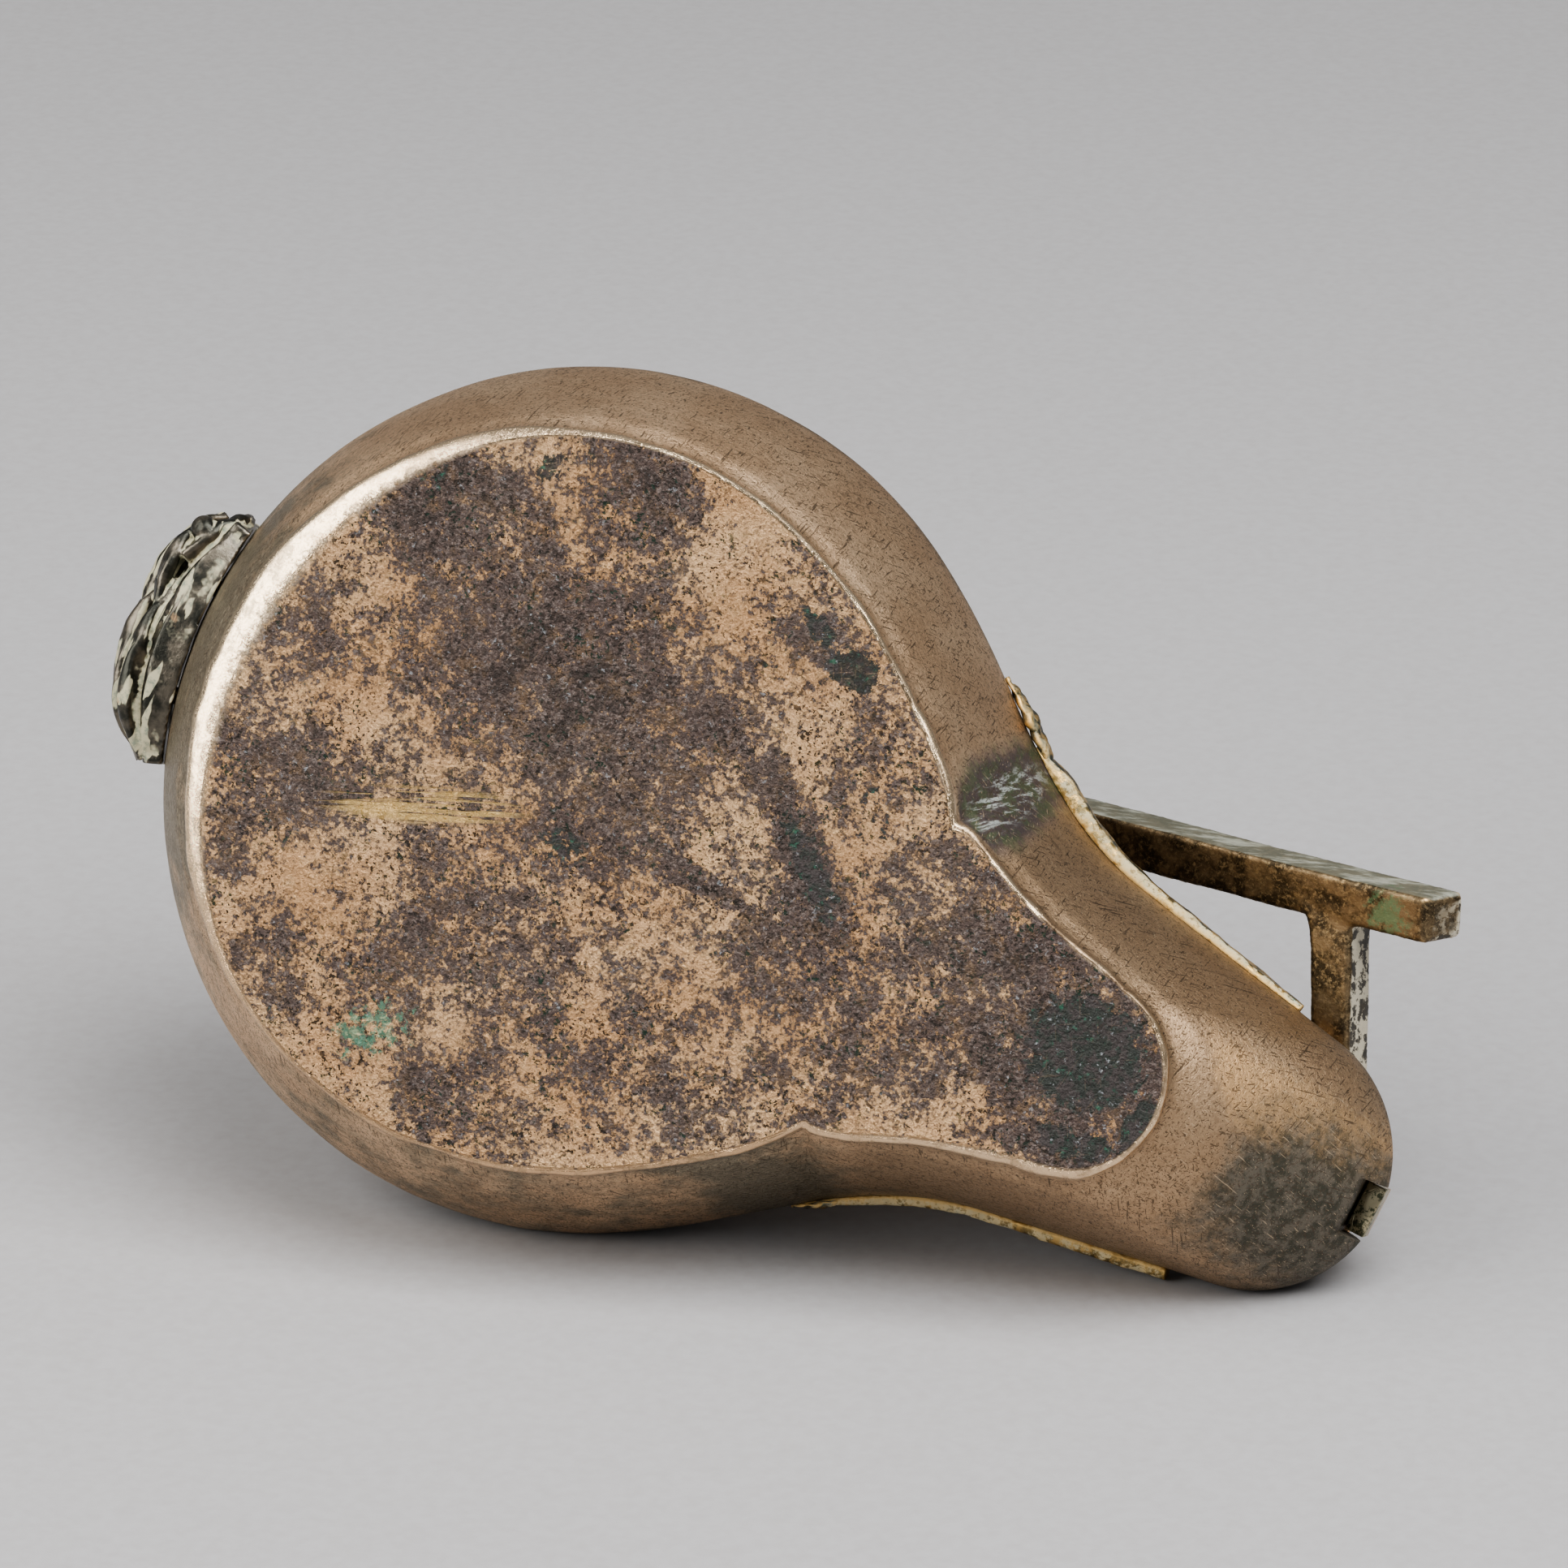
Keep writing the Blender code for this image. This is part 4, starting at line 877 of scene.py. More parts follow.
class Nodes:
    """A short way to write a material's node tree."""

    def __init__(self, name):
        self.material = bpy.data.materials.new(name)
        self.material.use_nodes = True
        self.tree = self.material.node_tree
        self.shader = self.tree.nodes["Principled BSDF"]
        coords = self.tree.nodes.new("ShaderNodeTexCoord")
        scale = self.vector("SCALE", coords.outputs["Object"])
        scale.node.inputs["Scale"].default_value = 1 / MM
        self.place = scale

    def new(self, kind, **settings):
        node = self.tree.nodes.new(kind)
        for key, value in settings.items():
            setattr(node, key, value)
        return node

    def plug(self, socket, value):
        if isinstance(value, bpy.types.NodeSocket):
            self.tree.links.new(value, socket)
        elif isinstance(value, tuple) and len(value) == 3 and socket.type == "RGBA":
            socket.default_value = (*value, 1.0)
        else:
            socket.default_value = value

    def vector(self, operation, a, b=None):
        node = self.new("ShaderNodeVectorMath", operation=operation)
        self.plug(node.inputs[0], a)
        if b is not None:
            self.plug(node.inputs[1], b)
        return node.outputs[0]

    def math(self, operation, a, b=0.0, clamp=False):
        node = self.new("ShaderNodeMath", operation=operation, use_clamp=clamp)
        self.plug(node.inputs[0], a)
        self.plug(node.inputs[1], b)
        return node.outputs[0]

    def noise(self, size, detail=4.0, rough=0.55, stretch=None, turn=0.0, shift=0.0,
              tilt=(0.0, 0.0)):
        """Fractal noise, about 0.5, with grains of that size in millimetres."""
        where = self.place
        if stretch is not None or turn or shift:
            mapping = self.new("ShaderNodeMapping", vector_type="TEXTURE")
            self.plug(mapping.inputs["Vector"], where)
            settle(mapping, {"Rotation": [radians(part) for part in (*tilt, turn)],
                             "Scale": stretch or (1, 1, 1),
                             "Location": (shift, shift * 0.7, shift * 0.3)})
            where = mapping.outputs[0]
        node = self.new("ShaderNodeTexNoise")
        self.plug(node.inputs["Vector"], where)
        settle(node, {"Scale": 1 / size, "Detail": detail, "Roughness": rough})
        return node.outputs[0]

    def cells(self, size, warp=0.0):
        """Distance to scattered points, in cells of that size, and a random number per cell."""
        where = self.place
        if warp:
            wobble = self.new("ShaderNodeTexNoise")
            self.plug(wobble.inputs["Vector"], where)
            settle(wobble, {"Scale": 1.3 / size, "Detail": 2.0})
            offset = self.vector("MULTIPLY", wobble.outputs[1], (warp, warp, warp))
            where = self.vector("ADD", where, offset)
        node = self.new("ShaderNodeTexVoronoi")
        self.plug(node.inputs["Vector"], where)
        node.inputs["Scale"].default_value = 1 / size
        split = self.new("ShaderNodeSeparateColor")
        self.plug(split.inputs[0], node.outputs["Color"])
        return node.outputs["Distance"], split.outputs[0]

    def step(self, value, low, high, to_low=0.0, to_high=1.0):
        node = self.new("ShaderNodeMapRange", interpolation_type="SMOOTHSTEP")
        self.plug(node.inputs["Value"], value)
        settle(node, {"From Min": low, "From Max": high, "To Min": to_low, "To Max": to_high})
        return node.outputs[0]

    def mix(self, factor, a, b):
        node = self.new("ShaderNodeMix", data_type="RGBA")
        self.plug(node.inputs[0], factor)
        self.plug(node.inputs[6], a)
        self.plug(node.inputs[7], b)
        return node.outputs[2]

    def blend(self, factor, a, b):
        node = self.new("ShaderNodeMix", data_type="FLOAT")
        self.plug(node.inputs[0], factor)
        self.plug(node.inputs[2], a)
        self.plug(node.inputs[3], b)
        return node.outputs[0]

    def times(self, a, b):
        return self.math("MULTIPLY", a, b)

    def plus(self, a, b):
        return self.math("ADD", a, b)

    def minus(self, a, b):
        return self.math("SUBTRACT", a, b)

    def most(self, a, b):
        return self.math("MAXIMUM", a, b)

    def sway(self, noise, amount):
        """A noise moved to swing about 0, by amount."""
        return self.times(self.minus(noise, 0.5), amount)

    def over(self, under, share, amount, color):
        """Lays a colour over what is under it, where share is 1 and as strongly as amount."""
        return self.mix(self.times(share, amount), under, color)

    def mottle(self, a, b, low, high, *noise, **settings):
        """Colour a, and colour b where the noise rises from low to high."""
        return self.mix(self.step(self.noise(*noise, **settings), low, high), a, b)

    def attribute(self, name):
        return self.new("ShaderNodeAttribute", attribute_name=name).outputs["Fac"]

    def axis(self, number, vector=None):
        split = self.new("ShaderNodeSeparateXYZ")
        self.plug(split.inputs[0], self.place if vector is None else vector)
        return split.outputs[number]

    def height(self):
        return self.axis(2)

    def length(self, vector):
        node = self.new("ShaderNodeVectorMath", operation="LENGTH")
        self.plug(node.inputs[0], vector)
        return node.outputs["Value"]

    def hollows(self):
        """About 0 in hollows, 0.5 on flats and 1 on ridges."""
        return self.new("ShaderNodeNewGeometry").outputs["Pointiness"]

    def scratches(self, size, angles, cut, stretch):
        """Fine straight scratches in flat faces, turned by angles."""
        lines = [self.noise(size, 1.5, 0.5, (stretch, 1, 1), angle, 17.0 * (i + 1))
                 for i, angle in enumerate(angles)]
        return self.any_line(lines, cut, cut + 0.06)

    def upright_scratches(self, size, tilts, cut, stretch):
        """Fine straight scratches that lie in steep walls, leaning by pairs of angles."""
        lines = [self.noise(size, 1.5, 0.5, (1, 1, stretch), 0.0, 13.0 * (i + 1), tilt)
                 for i, tilt in enumerate(tilts)]
        return self.any_line(lines, cut, cut + 0.05)

    def any_line(self, lines, low, high):
        total = self.step(lines[0], low, high)
        for line in lines[1:]:
            total = self.math("MAXIMUM", total, self.step(line, low, high))
        return total

    def bump(self, height, distance, strength=1.0, normal=None):
        node = self.new("ShaderNodeBump")
        self.plug(node.inputs["Height"], height)
        settle(node, {"Distance": distance * MM, "Strength": strength})
        if normal is not None:
            self.plug(node.inputs["Normal"], normal)
        return node.outputs[0]

    def finish(self, color, roughness, metallic, normal=None):
        self.plug(self.shader.inputs["Base Color"], color)
        self.plug(self.shader.inputs["Roughness"], roughness)
        self.plug(self.shader.inputs["Metallic"], metallic)
        if normal is not None:
            self.plug(self.shader.inputs["Normal"], normal)
        return self.material


GOLD = (0.58, 0.355, 0.19)
PALE_GOLD = (0.72, 0.485, 0.285)
BROWN = (0.40, 0.25, 0.14)
UMBER = (0.10, 0.068, 0.048)
PURPLE = (0.062, 0.049, 0.051)
BLACK = (0.018, 0.016, 0.014)
VERDIGRIS = (0.10, 0.27, 0.17)
CREAM = (0.47, 0.43, 0.29)
CHALK = (0.62, 0.66, 0.62)


def bowl_foot(n):
    """Warm metal, ragged purple-brown tarnish, pits and crust."""
    fine = n.noise(1.4, 6.0, 0.65)
    grain = n.noise(0.38, 3.0, 0.6, shift=9.0)
    ragged = n.noise(4.2, 9.0, 0.68, shift=3.0)
    broad = n.noise(13.0, 3.0, 0.6, shift=41.0)
    gold = n.mottle(GOLD, PALE_GOLD, 0.35, 0.68, 14.0, 3.0)
    gold = n.over(gold, n.step(grain, 0.50, 0.64), 0.5, BROWN)
    gold = n.over(gold, n.step(fine, 0.53, 0.66), 0.35, (0.85, 0.60, 0.34))
    clots = n.noise(1.1, 6.0, 0.72, shift=51.0)
    speck = n.sway(ragged, 1.5)
    speck = n.plus(speck, n.sway(clots, 1.7))
    speck = n.plus(speck, n.sway(grain, 0.9))
    speck = n.plus(speck, n.sway(broad, 0.5))
    tarnish = n.attribute("tarnish")
    field = n.plus(speck, n.times(tarnish, 0.62))
    dull = n.step(field, 0.13, 0.34)
    deep = n.step(field, 0.50, 0.75)
    stain = n.mottle(PURPLE, UMBER, 0.50, 0.66, 2.2, 4.0, 0.6, shift=31.0)
    crumb = n.step(n.noise(0.42, 4.0, 0.7, shift=19.0), 0.50, 0.62)
    stain = n.over(stain, crumb, 0.65, (0.205, 0.175, 0.168))
    color = n.over(gold, dull, 0.93, stain)
    color = n.over(color, deep, 0.55, BLACK)
    region = n.step(n.noise(9.0, 3.0, 0.6, shift=57.0), 0.38, 0.56)
    open_pits = n.step(n.noise(0.75, 3.0, 0.62, shift=47.0), 0.60, 0.645)
    dots = n.step(n.noise(0.36, 1.5, 0.5, shift=27.0), 0.63, 0.665)
    amount = n.plus(n.times(region, 0.65), 0.35)
    pits = n.times(n.most(open_pits, dots), amount)
    tone = n.step(n.noise(3.0, 3.0, 0.6, shift=37.0), 0.50, 0.60)
    hole = n.mix(tone, (0.035, 0.029, 0.024), (0.018, 0.045, 0.030))
    color = n.over(color, pits, 0.9, hole)
    crust_field = n.plus(n.attribute("crust"), n.sway(clots, 1.3))
    crust = n.step(crust_field, 0.64, 0.69)
    crust_color = n.mottle((0.022, 0.028, 0.022), (0.02, 0.10, 0.06), 0.56, 0.68, 0.8, 4.0, 0.65,
                           shift=77.0)
    crust_color = n.mottle(crust_color, (0.045, 0.036, 0.034), 0.46, 0.56, 1.3, 4.0, 0.65,
                           shift=5.0)
    color = n.over(color, crust, 0.95, crust_color)
    bloom_field = n.plus(n.attribute("bloom"), n.sway(n.noise(1.3, 6.0, 0.75), 3.4))
    bloom = n.step(bloom_field, 0.80, 1.05)
    color = n.over(color, bloom, 0.75, VERDIGRIS)
    chalk = n.times(n.step(n.noise(0.6, 4.0, 0.65, shift=91.0), 0.62, 0.69),
                    n.step(field, 0.1, 0.5))
    color = n.over(color, chalk, 0.6, (0.36, 0.38, 0.40))
    lines = n.scratches(0.22, (62, 100, 150), 0.66, 16.0)
    color = n.over(color, lines, n.blend(dull, 0.35, 0.06), PALE_GOLD)
    score = n.noise(0.35, 2.0, 0.5, stretch=(26, 1, 1), turn=-24, shift=18.0)
    scored = n.times(n.step(score, 0.47, 0.56), n.step(n.attribute("scored"), 0.45, 0.8))
    color = n.over(color, scored, 0.7, (0.72, 0.50, 0.20))
    foot_rough = n.blend(dull, n.blend(n.step(fine, 0.3, 0.7), 0.38, 0.28), 0.52)
    foot_rough = n.blend(pits, foot_rough, 0.8)
    foot_metal = n.blend(dull, 1.0, 0.65)
    foot_metal = n.blend(n.most(crust, bloom), foot_metal, 0.1)
    relief = n.plus(n.times(fine, 0.8), n.times(grain, 1.0))
    relief = n.minus(relief, n.times(pits, 0.9))
    relief = n.minus(relief, n.times(dull, 0.5))
    relief = n.minus(relief, n.times(scored, 0.5))
    return color, foot_rough, foot_metal, relief, lines


def bowl_wall(n):
    """Satin brown with fine scratches, darker and greener near the rim and the tip. Painted shade
    darkens the neck, the lower side and the waist's crease, and a painted highlight runs along the
    nozzle.
    """
    brown = n.mottle((0.66, 0.45, 0.28), (0.80, 0.575, 0.375), 0.38, 0.66, 11.0, 4.0, 0.6,
                     shift=13.0)
    mottled = n.noise(1.0, 6.0, 0.75, stretch=(1, 1, 0.45), turn=20, shift=23.0)
    brown = n.over(brown, n.step(mottled, 0.46, 0.66), 0.6, (0.27, 0.185, 0.12))
    # Painted shade: the neck's wall is darkened.
    brown = n.over(brown, n.attribute("neck"), 0.6, (0.33, 0.225, 0.135))
    grit = n.step(n.noise(0.42, 5.0, 0.75, shift=16.0), 0.51, 0.62)
    brown = n.over(brown, grit, 0.38, (0.22, 0.145, 0.09))
    dirt = n.step(n.plus(n.noise(0.8, 4.0, 0.7, shift=43.0), n.times(n.noise(7.0, 2.0), 0.5)), 0.86,
                  1.0)
    brown = n.over(brown, dirt, 0.5, UMBER)
    rim_field = n.plus(n.height(), n.times(n.noise(6.0, 4.0, 0.65, shift=3.3), 5.0))
    rim_dark = n.step(rim_field, 20.8, 23.6)
    brown = n.over(brown, rim_dark, 0.7, (0.075, 0.07, 0.055))
    brushed = n.noise(0.7, 5.0, 0.7, stretch=(1, 1, 0.16), shift=83.0)
    # Grey-green rear wall, and painted shade in the same grey on the lower side and under the
    # waist.
    rear_tone_and_shade_field = n.plus(n.attribute("rear"), n.sway(n.noise(5.0, 5.0, 0.7), 1.6))
    rear = n.step(rear_tone_and_shade_field, 0.35, 0.95)
    grey = n.mix(n.step(brushed, 0.42, 0.62), (0.075, 0.08, 0.062), (0.27, 0.26, 0.20))
    brown = n.over(brown, rear, 0.8, grey)
    nozzle = n.attribute("nozzle")
    tip_field = n.plus(nozzle, n.sway(n.noise(2.2, 7.0, 0.78, shift=8.0), 1.3))
    tip_dark = n.step(tip_field, 0.20, 0.95)
    tip_color = n.mottle((0.032, 0.04, 0.031), (0.125, 0.115, 0.092), 0.42, 0.58, 1.3, 6.0, 0.7,
                         shift=2.0)
    # Painted highlight: a warm golden band along the nozzle where the soft box's reflection lies.
    painted_highlight = n.step(n.plus(n.attribute("painted_highlight"), n.minus(n.noise(1.2, 6.0, 0.75, shift=14.0), 0.5)),
                   0.3, 0.8)
    brown = n.over(brown, painted_highlight, 0.65, (0.80, 0.51, 0.26))
    brown = n.over(brown, tip_dark, 0.93, tip_color)
    waist_shade_and_streaks = n.attribute("waist_shade_and_streaks")
    # Painted shade darkens the waist's crease, in dark purple and green.
    waist_painted_shade = n.step(n.plus(waist_shade_and_streaks, n.times(n.noise(4.0, 4.0, 0.6, shift=61.0), 0.5)), 0.45, 0.95)
    waist_shade_color = n.mottle((0.05, 0.042, 0.05), (0.045, 0.075, 0.04), 0.44, 0.58, 2.4, 4.0, 0.65,
                    shift=64.0)
    brown = n.over(brown, waist_painted_shade, 0.92, waist_shade_color)
    streak = n.noise(0.7, 5.0, 0.68, stretch=(1, 1, 9), tilt=(25, 25), shift=71.0)
    streaks = n.times(n.step(streak, 0.50, 0.60), n.step(waist_shade_and_streaks, 0.72, 1.05))
    brown = n.over(brown, streaks, 0.8, CHALK)
    hair = n.upright_scratches(0.2, ((30, 0), (-35, 15), (5, 40), (60, 20)), 0.63, 22.0)
    brown = n.over(brown, hair, 0.75, (0.085, 0.06, 0.04))
    shine = n.upright_scratches(0.17, ((-15, 50), (20, -30)), 0.67, 20.0)
    brown = n.over(brown, shine, 0.35, (0.80, 0.62, 0.42))
    wall_rough = n.blend(n.step(mottled, 0.3, 0.7), 0.36, 0.5)
    wall_rough = n.blend(n.most(tip_dark, rim_dark), wall_rough, 0.5)
    wall_metal = n.blend(n.most(n.most(streaks, waist_painted_shade), tip_dark), 1.0, 0.6)
    return brown, wall_rough, wall_metal, mottled, hair


def bowl_material():
    n = Nodes("worn_bowl_bronze")
    foot = n.attribute("foot")
    edge = n.attribute("edge")
    foot_color, foot_rough, foot_metal, foot_relief, lines = bowl_foot(n)
    brown, wall_rough, wall_metal, mottled, hair = bowl_wall(n)
    color = n.mix(foot, brown, foot_color)
    # The polished edge: pale gold wear, with a painted highlight in warm white where the edge
    # highlight mask is high.
    worn = n.times(edge, n.blend(n.step(n.noise(2.0, 5.0, 0.7, shift=29.0), 0.46, 0.60), 0.95,
                                 0.45))
    color = n.mix(worn, color, n.mix(n.attribute("edge_highlight"), PALE_GOLD, (1.0, 0.80, 0.55)))
    rough = n.blend(foot, wall_rough, foot_rough)
    rough = n.blend(worn, rough, 0.18)
    metal = n.blend(foot, wall_metal, foot_metal)
    metal = n.blend(edge, metal, 1.0)
    relief = n.blend(foot, n.times(mottled, 0.12), foot_relief)
    relief = n.times(relief, n.blend(edge, 1.0, 0.2))
    normal = n.bump(relief, 0.75, 1.0)
    normal = n.bump(n.minus(n.times(lines, 0.5), hair), 0.02, 0.6, normal)
    return n.finish(color, rough, metal, normal)


def bronze(name, light, dark, patina, roughness, shift, amount=0.5, crust_below=None):
    """A general worn bronze: two browns, dark patina in hollows, bright ridges, fine scratches."""
    n = Nodes(name)
    base = n.mottle(dark, light, 0.36, 0.66, 8.0, 4.0, 0.6, shift=shift)
    grain = n.noise(0.9, 5.0, 0.65, shift=shift + 7)
    base = n.mix(n.step(grain, 0.5, 0.72), base, dark)
    field = n.plus(n.noise(4.0, 5.0, 0.7, shift=shift + 13), n.times(n.noise(16.0, 2.0), 0.4))
    stained = n.step(field, 0.98 - amount * 0.42, 1.12 - amount * 0.36)
    base = n.over(base, stained, 0.8, patina)
    ridge = n.step(n.hollows(), 0.51, 0.56)
    hollow = n.step(n.hollows(), 0.49, 0.44)
    base = n.over(base, hollow, 0.8, patina)
    base = n.over(base, ridge, 0.7, PALE_GOLD)
    hair = n.scratches(0.2, (20, 75, 130), 0.67, 24.0)
    base = n.over(base, hair, 0.35, dark)
    if crust_below is not None:
        under = n.step(n.plus(n.height(), n.noise(1.0, 4.0, 0.7)), crust_below + 0.7,
                       crust_below + 0.2)
        speckled = n.mottle(CREAM, (0.06, 0.09, 0.06), 0.5, 0.58, 0.8, 5.0, 0.7, shift=6.0)
        base = n.over(base, under, 0.9, speckled)
    rough = n.blend(n.step(grain, 0.3, 0.7), roughness, roughness + 0.14)
    rough = n.blend(ridge, rough, roughness - 0.06)
    metal = n.blend(stained, 1.0, 0.65)
    normal = n.bump(n.minus(n.times(grain, 0.5), n.times(hair, 0.3)), 0.06, 0.7)
    return n.finish(base, rough, metal, normal)


def crusted_material():
    """The borders and scrolls: gold and dark green metal with a cream crust on the underside."""
    n = Nodes("crusted_trim")
    z = n.height()
    fine = n.noise(0.8, 5.0, 0.65)
    metal_color = n.mottle((0.50, 0.34, 0.14), (0.055, 0.06, 0.04), 0.44, 0.54, 1.5, 5.0, 0.7,
                           shift=4.0)
    under = n.step(n.plus(z, n.times(fine, 1.2)), 21.6, 20.9)
    patch = n.step(n.noise(2.4, 6.0, 0.75, shift=12.0), 0.44, 0.50)
    patch = n.times(patch, n.step(n.axis(0), 36.0, 42.0, 0.4))
    crust = n.times(under, patch)
    cream = n.mottle(CREAM, (0.52, 0.50, 0.36), 0.4, 0.65, 1.2, 4.0, 0.6, shift=33.0)
    green = n.step(n.noise(1.0, 3.0, 0.6, shift=53.0), 0.66, 0.72)
    cream = n.over(cream, green, 0.8, (0.14, 0.38, 0.30))
    black = n.step(n.noise(0.6, 5.0, 0.75, shift=73.0), 0.53, 0.59)
    cream = n.over(cream, black, 0.85, (0.05, 0.055, 0.04))
    color = n.mix(crust, metal_color, cream)
    ridge = n.step(n.hollows(), 0.515, 0.57)
    color = n.over(color, ridge, 0.8, (0.80, 0.55, 0.22))
    rough = n.blend(crust, 0.45, 0.85)
    metal = n.blend(crust, 0.9, 0.0)
    return n.finish(color, rough, metal, n.bump(fine, 0.12, 0.7))


def leaf_material():
    """Dark patinated ridges with cream in the hollows, and a few worn gold spots."""
    n = Nodes("carved_leaf_bronze")
    grain = n.noise(0.7, 5.0, 0.65)
    dark = n.mottle((0.04, 0.04, 0.033), (0.16, 0.14, 0.11), 0.4, 0.62, 3.0, 4.0, 0.6)
    field = n.plus(n.hollows(), n.sway(n.noise(2.6, 3.0, 0.6, shift=21.0), 0.10))
    cream = n.step(field, 0.497, 0.480)
    streak = n.noise(1.5, 2.5, 0.55, stretch=(1, 5, 1), shift=15.0)
    cream = n.most(cream, n.times(n.step(streak, 0.57, 0.60), 0.9))
    cream_color = n.mix(n.step(grain, 0.45, 0.68), (0.52, 0.48, 0.33), (0.24, 0.27, 0.20))
    rust = n.step(n.noise(3.4, 3.0, 0.6, shift=45.0), 0.66, 0.72)
    cream_color = n.over(cream_color, rust, 0.7, (0.36, 0.16, 0.05))
    color = n.over(dark, cream, 0.85, cream_color)
    ridge = n.step(field, 0.535, 0.58)
    color = n.over(color, ridge, 0.35, (0.42, 0.36, 0.28))
    rough = n.blend(cream, 0.30, 0.8)
    metal = n.blend(cream, 0.85, 0.0)
    return n.finish(color, rough, metal, n.bump(grain, 0.08, 0.7))


def arm_material():
    """Mottled brown, with worn gold edges, a pale top face and a green patch near the end."""
    n = Nodes("arm_bronze_mottled")
    grain = n.noise(0.8, 5.0, 0.65)
    blotch = n.noise(2.6, 5.0, 0.7, shift=6.0)
    base = n.mix(n.step(blotch, 0.40, 0.60), (0.055, 0.042, 0.026), (0.20, 0.145, 0.085))
    base = n.mottle(base, (0.28, 0.21, 0.12), 0.50, 0.62, 0.5, 5.0, 0.75, shift=66.0)
    facing = n.new("ShaderNodeTexCoord").outputs["Normal"]
    outer = n.step(n.times(n.axis(1, facing), -1.0), 0.55, 0.8)
    pale = n.step(n.noise(1.6, 5.0, 0.7, stretch=(4, 1, 1), turn=-15, shift=26.0), 0.46, 0.64)
    top = n.mix(pale, (0.13, 0.13, 0.095), (0.40, 0.41, 0.34))
    base = n.over(base, outer, 0.8, top)
    ends = n.step(n.axis(0, facing), 0.72, 0.86)
    chalky = n.mottle((0.035, 0.032, 0.026), (0.62, 0.57, 0.44), 0.46, 0.52, 1.6, 5.0, 0.7,
                      shift=36.0)
    base = n.over(base, ends, 0.9, chalky)
    spot = n.vector("SUBTRACT", n.place, (76.5, -26.5, 22.0))
    green = n.step(n.plus(n.length(spot), n.times(n.noise(1.2, 6.0, 0.8), 12.0)), 8.6, 6.8)
    base = n.over(base, green, 0.7, (0.07, 0.15, 0.065))
    ridge = n.step(n.hollows(), 0.53, 0.58)
    base = n.over(base, ridge, 0.75, (0.80, 0.55, 0.28))
    rough = n.blend(ridge, n.blend(blotch, 0.5, 0.42), 0.3)
    metal = n.blend(n.most(n.most(outer, ends), green), 0.95, 0.3)
    return n.finish(base, rough, metal, n.bump(grain, 0.1, 0.7))


def glaze_material():
    n = Nodes("glazed_earthenware")
    z = n.height()
    body = n.mottle((0.80, 0.78, 0.70), (0.72, 0.69, 0.60), 0.4, 0.65, 9.0, 3.0)
    crackle = n.new("ShaderNodeTexVoronoi", feature="DISTANCE_TO_EDGE")
    n.plug(crackle.inputs["Vector"], n.place)
    crackle.inputs["Scale"].default_value = 0.22
    lines = n.step(crackle.outputs["Distance"], 0.02, 0.006)
    body = n.over(body, lines, 0.3, (0.45, 0.38, 0.28))
    radius = n.length(n.vector("MULTIPLY", n.place, (1.0, 1.0, 0.0)))
    inside = n.step(radius, 19.3, 18.95)
    level_line = n.plus(z, n.times(n.noise(5.0, 4.0, 0.6, shift=5.0), 5.0))
    ink = n.times(inside, n.step(level_line, 26.0, 21.0))
    body = n.over(body, ink, 0.9, (0.012, 0.014, 0.035))
    return n.finish(body, n.blend(ink, 0.12, 0.3), 0.0, n.bump(n.noise(6.0, 2.0), 0.05, 0.4))


def leather_material():
    n = Nodes("washer_leather")
    distance, pick = n.cells(0.7, 0.3)
    color = n.mottle((0.16, 0.085, 0.045), (0.09, 0.05, 0.03), 0.4, 0.65, 3.0, 4.0)
    color = n.mix(n.step(distance, 0.1, 0.5), n.mix(pick, color, UMBER), color)
    return n.finish(color, 0.78, 0.0, n.bump(distance, 0.08, 0.8))


def paint(objects):
    """Gives each visible piece its material, by the record's slots and by name."""
    plain = bronze("worn_bronze", (0.55, 0.38, 0.22), (0.34, 0.22, 0.13), (0.07, 0.065, 0.05), 0.36,
                   3.0, 0.45)
    fastener = bronze("worn_brass", (0.66, 0.47, 0.24), (0.42, 0.28, 0.14), (0.06, 0.055, 0.04),
                      0.32, 9.0, 0.35)
    dome = bronze("dome_bronze", (0.50, 0.34, 0.20), (0.27, 0.18, 0.11), (0.05, 0.055, 0.045), 0.36,
                  19.0, 0.6)
    deck = bronze("deck_bronze", (0.55, 0.38, 0.22), (0.34, 0.22, 0.13), (0.07, 0.065, 0.05), 0.36,
                  5.0, 0.5, crust_below=BOWL_TOP)
    by_name = {"bowl_cast": bowl_material(), "rear_leaf_carved": leaf_material(),
               "lid_arm_cast": arm_material(), "lid_dome_cast": dome, "crown_nut_turned": plain,
               "deck_plate_worn": deck, "pen_ring_turned": plain}
    by_slot = {"bronze": plain, "bronze_trim": crusted_material(),
               "leaf_bronze": by_name["rear_leaf_carved"], "arm_bronze": by_name["lid_arm_cast"],
               "fastener": fastener, "glazed_white": glaze_material(),
               "leather": leather_material()}
    for obj, slot in objects:
        obj.data.materials.clear()
        obj.data.materials.append(by_name.get(obj.name, by_slot[slot]))


# ---------------------------------------------------------------- floor, light and camera
TABLE_LEAN = 22.9               # degrees between the table's normal and the deck
TABLE_HALF = 1.2                # metres


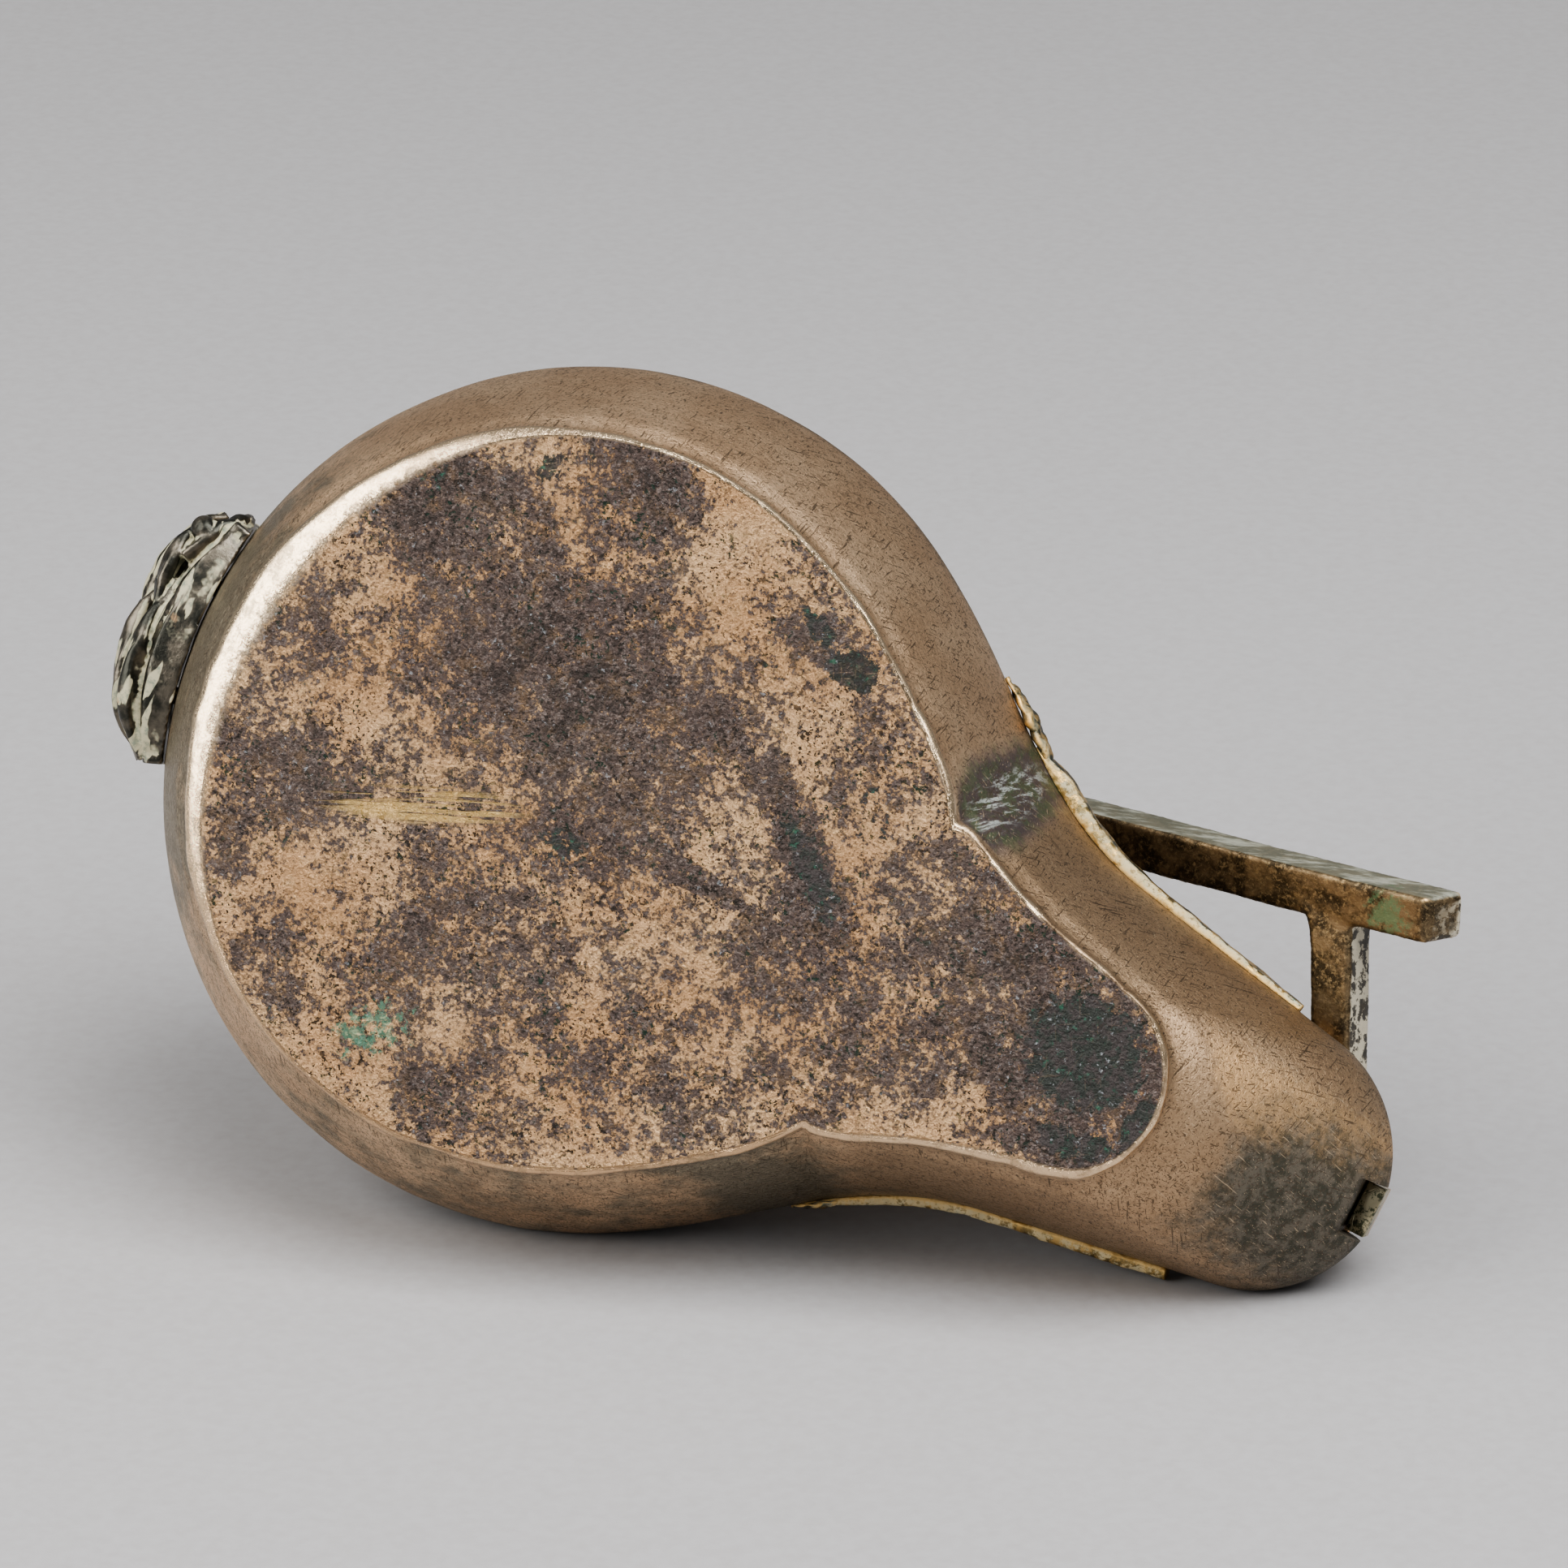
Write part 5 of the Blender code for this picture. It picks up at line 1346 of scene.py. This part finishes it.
def arrange_stage():
    """The inkwell lies on its left side, so the table's plane touches rim and nozzle there."""
    lean = radians(TABLE_LEAN)
    swing = acos((RIM["round"] - RIM["tip_r"]) / RIM["tip_x"])
    down = Vector((cos(lean) * cos(swing), cos(lean) * sin(swing), sin(lean)))
    reach = max((o.matrix_world @ v.co).dot(down) for o in bpy.data.objects
                if o.type == "MESH" and o.name == "bowl_cast" for v in o.data.vertices)
    up = -down
    side = up.cross(Vector(CAMERA_BACK)).normalized()
    front = side.cross(up).normalized()
    middle = down * reach
    corners = [middle + side * (x * TABLE_HALF) + front * (y * TABLE_HALF * 2)
               for x, y in ((-1, -1), (1, -1), (1, 1), (-1, 1))]
    mesh = bpy.data.meshes.new("table")
    mesh.from_pydata([tuple(c) for c in corners], [], [(0, 1, 2, 3)])
    table = add_object("table", mesh)
    if mesh.polygons[0].normal.dot(up) < 0:
        mesh.flip_normals()
    mesh.materials.append(table_material())
    return up, front


def table_material():
    """Plain matt grey paper with a little dust. Seen from behind it lets everything through."""
    material = bpy.data.materials.new("table_paper")
    material.use_nodes = True
    tree = material.node_tree
    shader = tree.nodes["Principled BSDF"]
    settle(shader, {"Roughness": 0.9, "Specular IOR Level": 0.2})
    coords = tree.nodes.new("ShaderNodeTexCoord")
    dust = tree.nodes.new("ShaderNodeTexNoise")
    settle(dust, {"Scale": 700, "Detail": 3})
    tree.links.new(coords.outputs["Object"], dust.inputs["Vector"])
    ramp = tree.nodes.new("ShaderNodeMapRange")
    settle(ramp, {"From Min": 0.35, "From Max": 0.85})
    tree.links.new(dust.outputs[0], ramp.inputs["Value"])
    tint = tree.nodes.new("ShaderNodeMix")
    tint.data_type = "RGBA"
    tint.inputs[6].default_value = (0.375, 0.368, 0.373, 1)
    tint.inputs[7].default_value = (0.345, 0.336, 0.334, 1)
    tree.links.new(ramp.outputs[0], tint.inputs[0])
    tree.links.new(tint.outputs[2], shader.inputs["Base Color"])
    clear = tree.nodes.new("ShaderNodeBsdfTransparent")
    side = tree.nodes.new("ShaderNodeNewGeometry")
    choose = tree.nodes.new("ShaderNodeMixShader")
    tree.links.new(side.outputs["Backfacing"], choose.inputs[0])
    tree.links.new(shader.outputs[0], choose.inputs[1])
    tree.links.new(clear.outputs[0], choose.inputs[2])
    tree.links.new(choose.outputs[0], tree.nodes["Material Output"].inputs["Surface"])
    return material


CAMERA_BACK = (0.1803, -0.0793, -0.9804)       # from the object towards the camera
CAMERA_UP = (-0.4562, -0.8898, -0.0119)
CAMERA_AIM = (0.0200, -0.0118, 0.0047)
CAMERA_DISTANCE = 0.9
CAMERA_LENS = 212.3


def make_camera():
    back = Vector(CAMERA_BACK).normalized()
    up = Vector(CAMERA_UP)
    up = (up - back * up.dot(back)).normalized()
    right = up.cross(back)
    data = bpy.data.cameras.new("camera")
    data.lens = CAMERA_LENS
    data.sensor_width = 36.0
    data.clip_end = 20.0
    camera = add_object("camera", data)
    turn = Matrix((right, up, back)).transposed().to_4x4()
    camera.matrix_world = Matrix.Translation(Vector(CAMERA_AIM) + back * CAMERA_DISTANCE) @ turn
    bpy.context.scene.camera = camera
    return right, up, back


def area_light(name, spot, aim, size, power, tint=(1, 1, 1)):
    data = bpy.data.lights.new(name, "AREA")
    data.shape = "RECTANGLE"
    data.size, data.size_y = size
    data.energy = power
    data.color = tint
    light = add_object(name, data)
    light.location = spot
    light.rotation_mode = "QUATERNION"
    light.rotation_quaternion = (Vector(aim) - Vector(spot)).to_track_quat("-Z", "Y")


OVERHEAD_WATTS = 14.4
LEFT_WATTS = 11.5
WARM_WHITE = (1.0, 0.985, 0.96)


def make_lights(right, up, back, above, front):
    """A broad soft box overhead, a strip on the left that lights the edges, and a grey room."""
    aim = Vector(CAMERA_AIM)
    area_light("overhead", aim + above * 0.82 + right * 0.27 + front * 0.33, aim, (0.85, 0.7),
               OVERHEAD_WATTS)
    area_light("left", aim - right * 0.80 + up * 0.36 + back * 0.42, aim, (0.85, 0.95), LEFT_WATTS,
               WARM_WHITE)
    world = bpy.data.worlds.new("room")
    bpy.context.scene.world = world
    world.use_nodes = True
    tree = world.node_tree
    background = tree.nodes["Background"]
    coords = tree.nodes.new("ShaderNodeTexCoord")
    lean = tree.nodes.new("ShaderNodeVectorMath")
    lean.operation = "DOT_PRODUCT"
    tree.links.new(coords.outputs["Generated"], lean.inputs[0])
    lean.inputs[1].default_value = above
    ramp = tree.nodes.new("ShaderNodeMapRange")
    settle(ramp, {"From Min": -0.1, "From Max": 0.9, "To Min": 0.16, "To Max": 0.42})
    tree.links.new(lean.outputs["Value"], ramp.inputs["Value"])
    tree.links.new(ramp.outputs[0], background.inputs["Strength"])
    background.inputs["Color"].default_value = (0.80, 0.81, 0.83, 1)


# ---------------------------------------------------------------- the scene
bpy.context.scene.view_settings.look = "AgX - Medium High Contrast"
right, up, back = make_camera()
make_bowl()
for side in (1, -1):
    make_border(side)
    make_scroll(side)
make_rear_leaf()
make_lid_arm()
make_lid_dome()
make_well_pieces()
make_fasteners()
make_crown_pieces()
trim_lug(soften("deck_plate", "base", "bronze", 0.25))
soften("hinge_bracket", "base", "bronze", 0.25)
soften("lid_knuckle", "lid", "bronze", 0.2)
slots = {part["node"]: part["material_slot"] for part in frame["record"]["subparts"]}
pieces = [(o, o["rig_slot"]) for o in bpy.data.objects if o.type == "MESH" and "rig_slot" in o]
pieces += [(node, slots[name]) for name, node in frame["nodes"].items() if not node.hide_render]
paint(pieces)
above, front = arrange_stage()
make_lights(right, up, back, above, front)
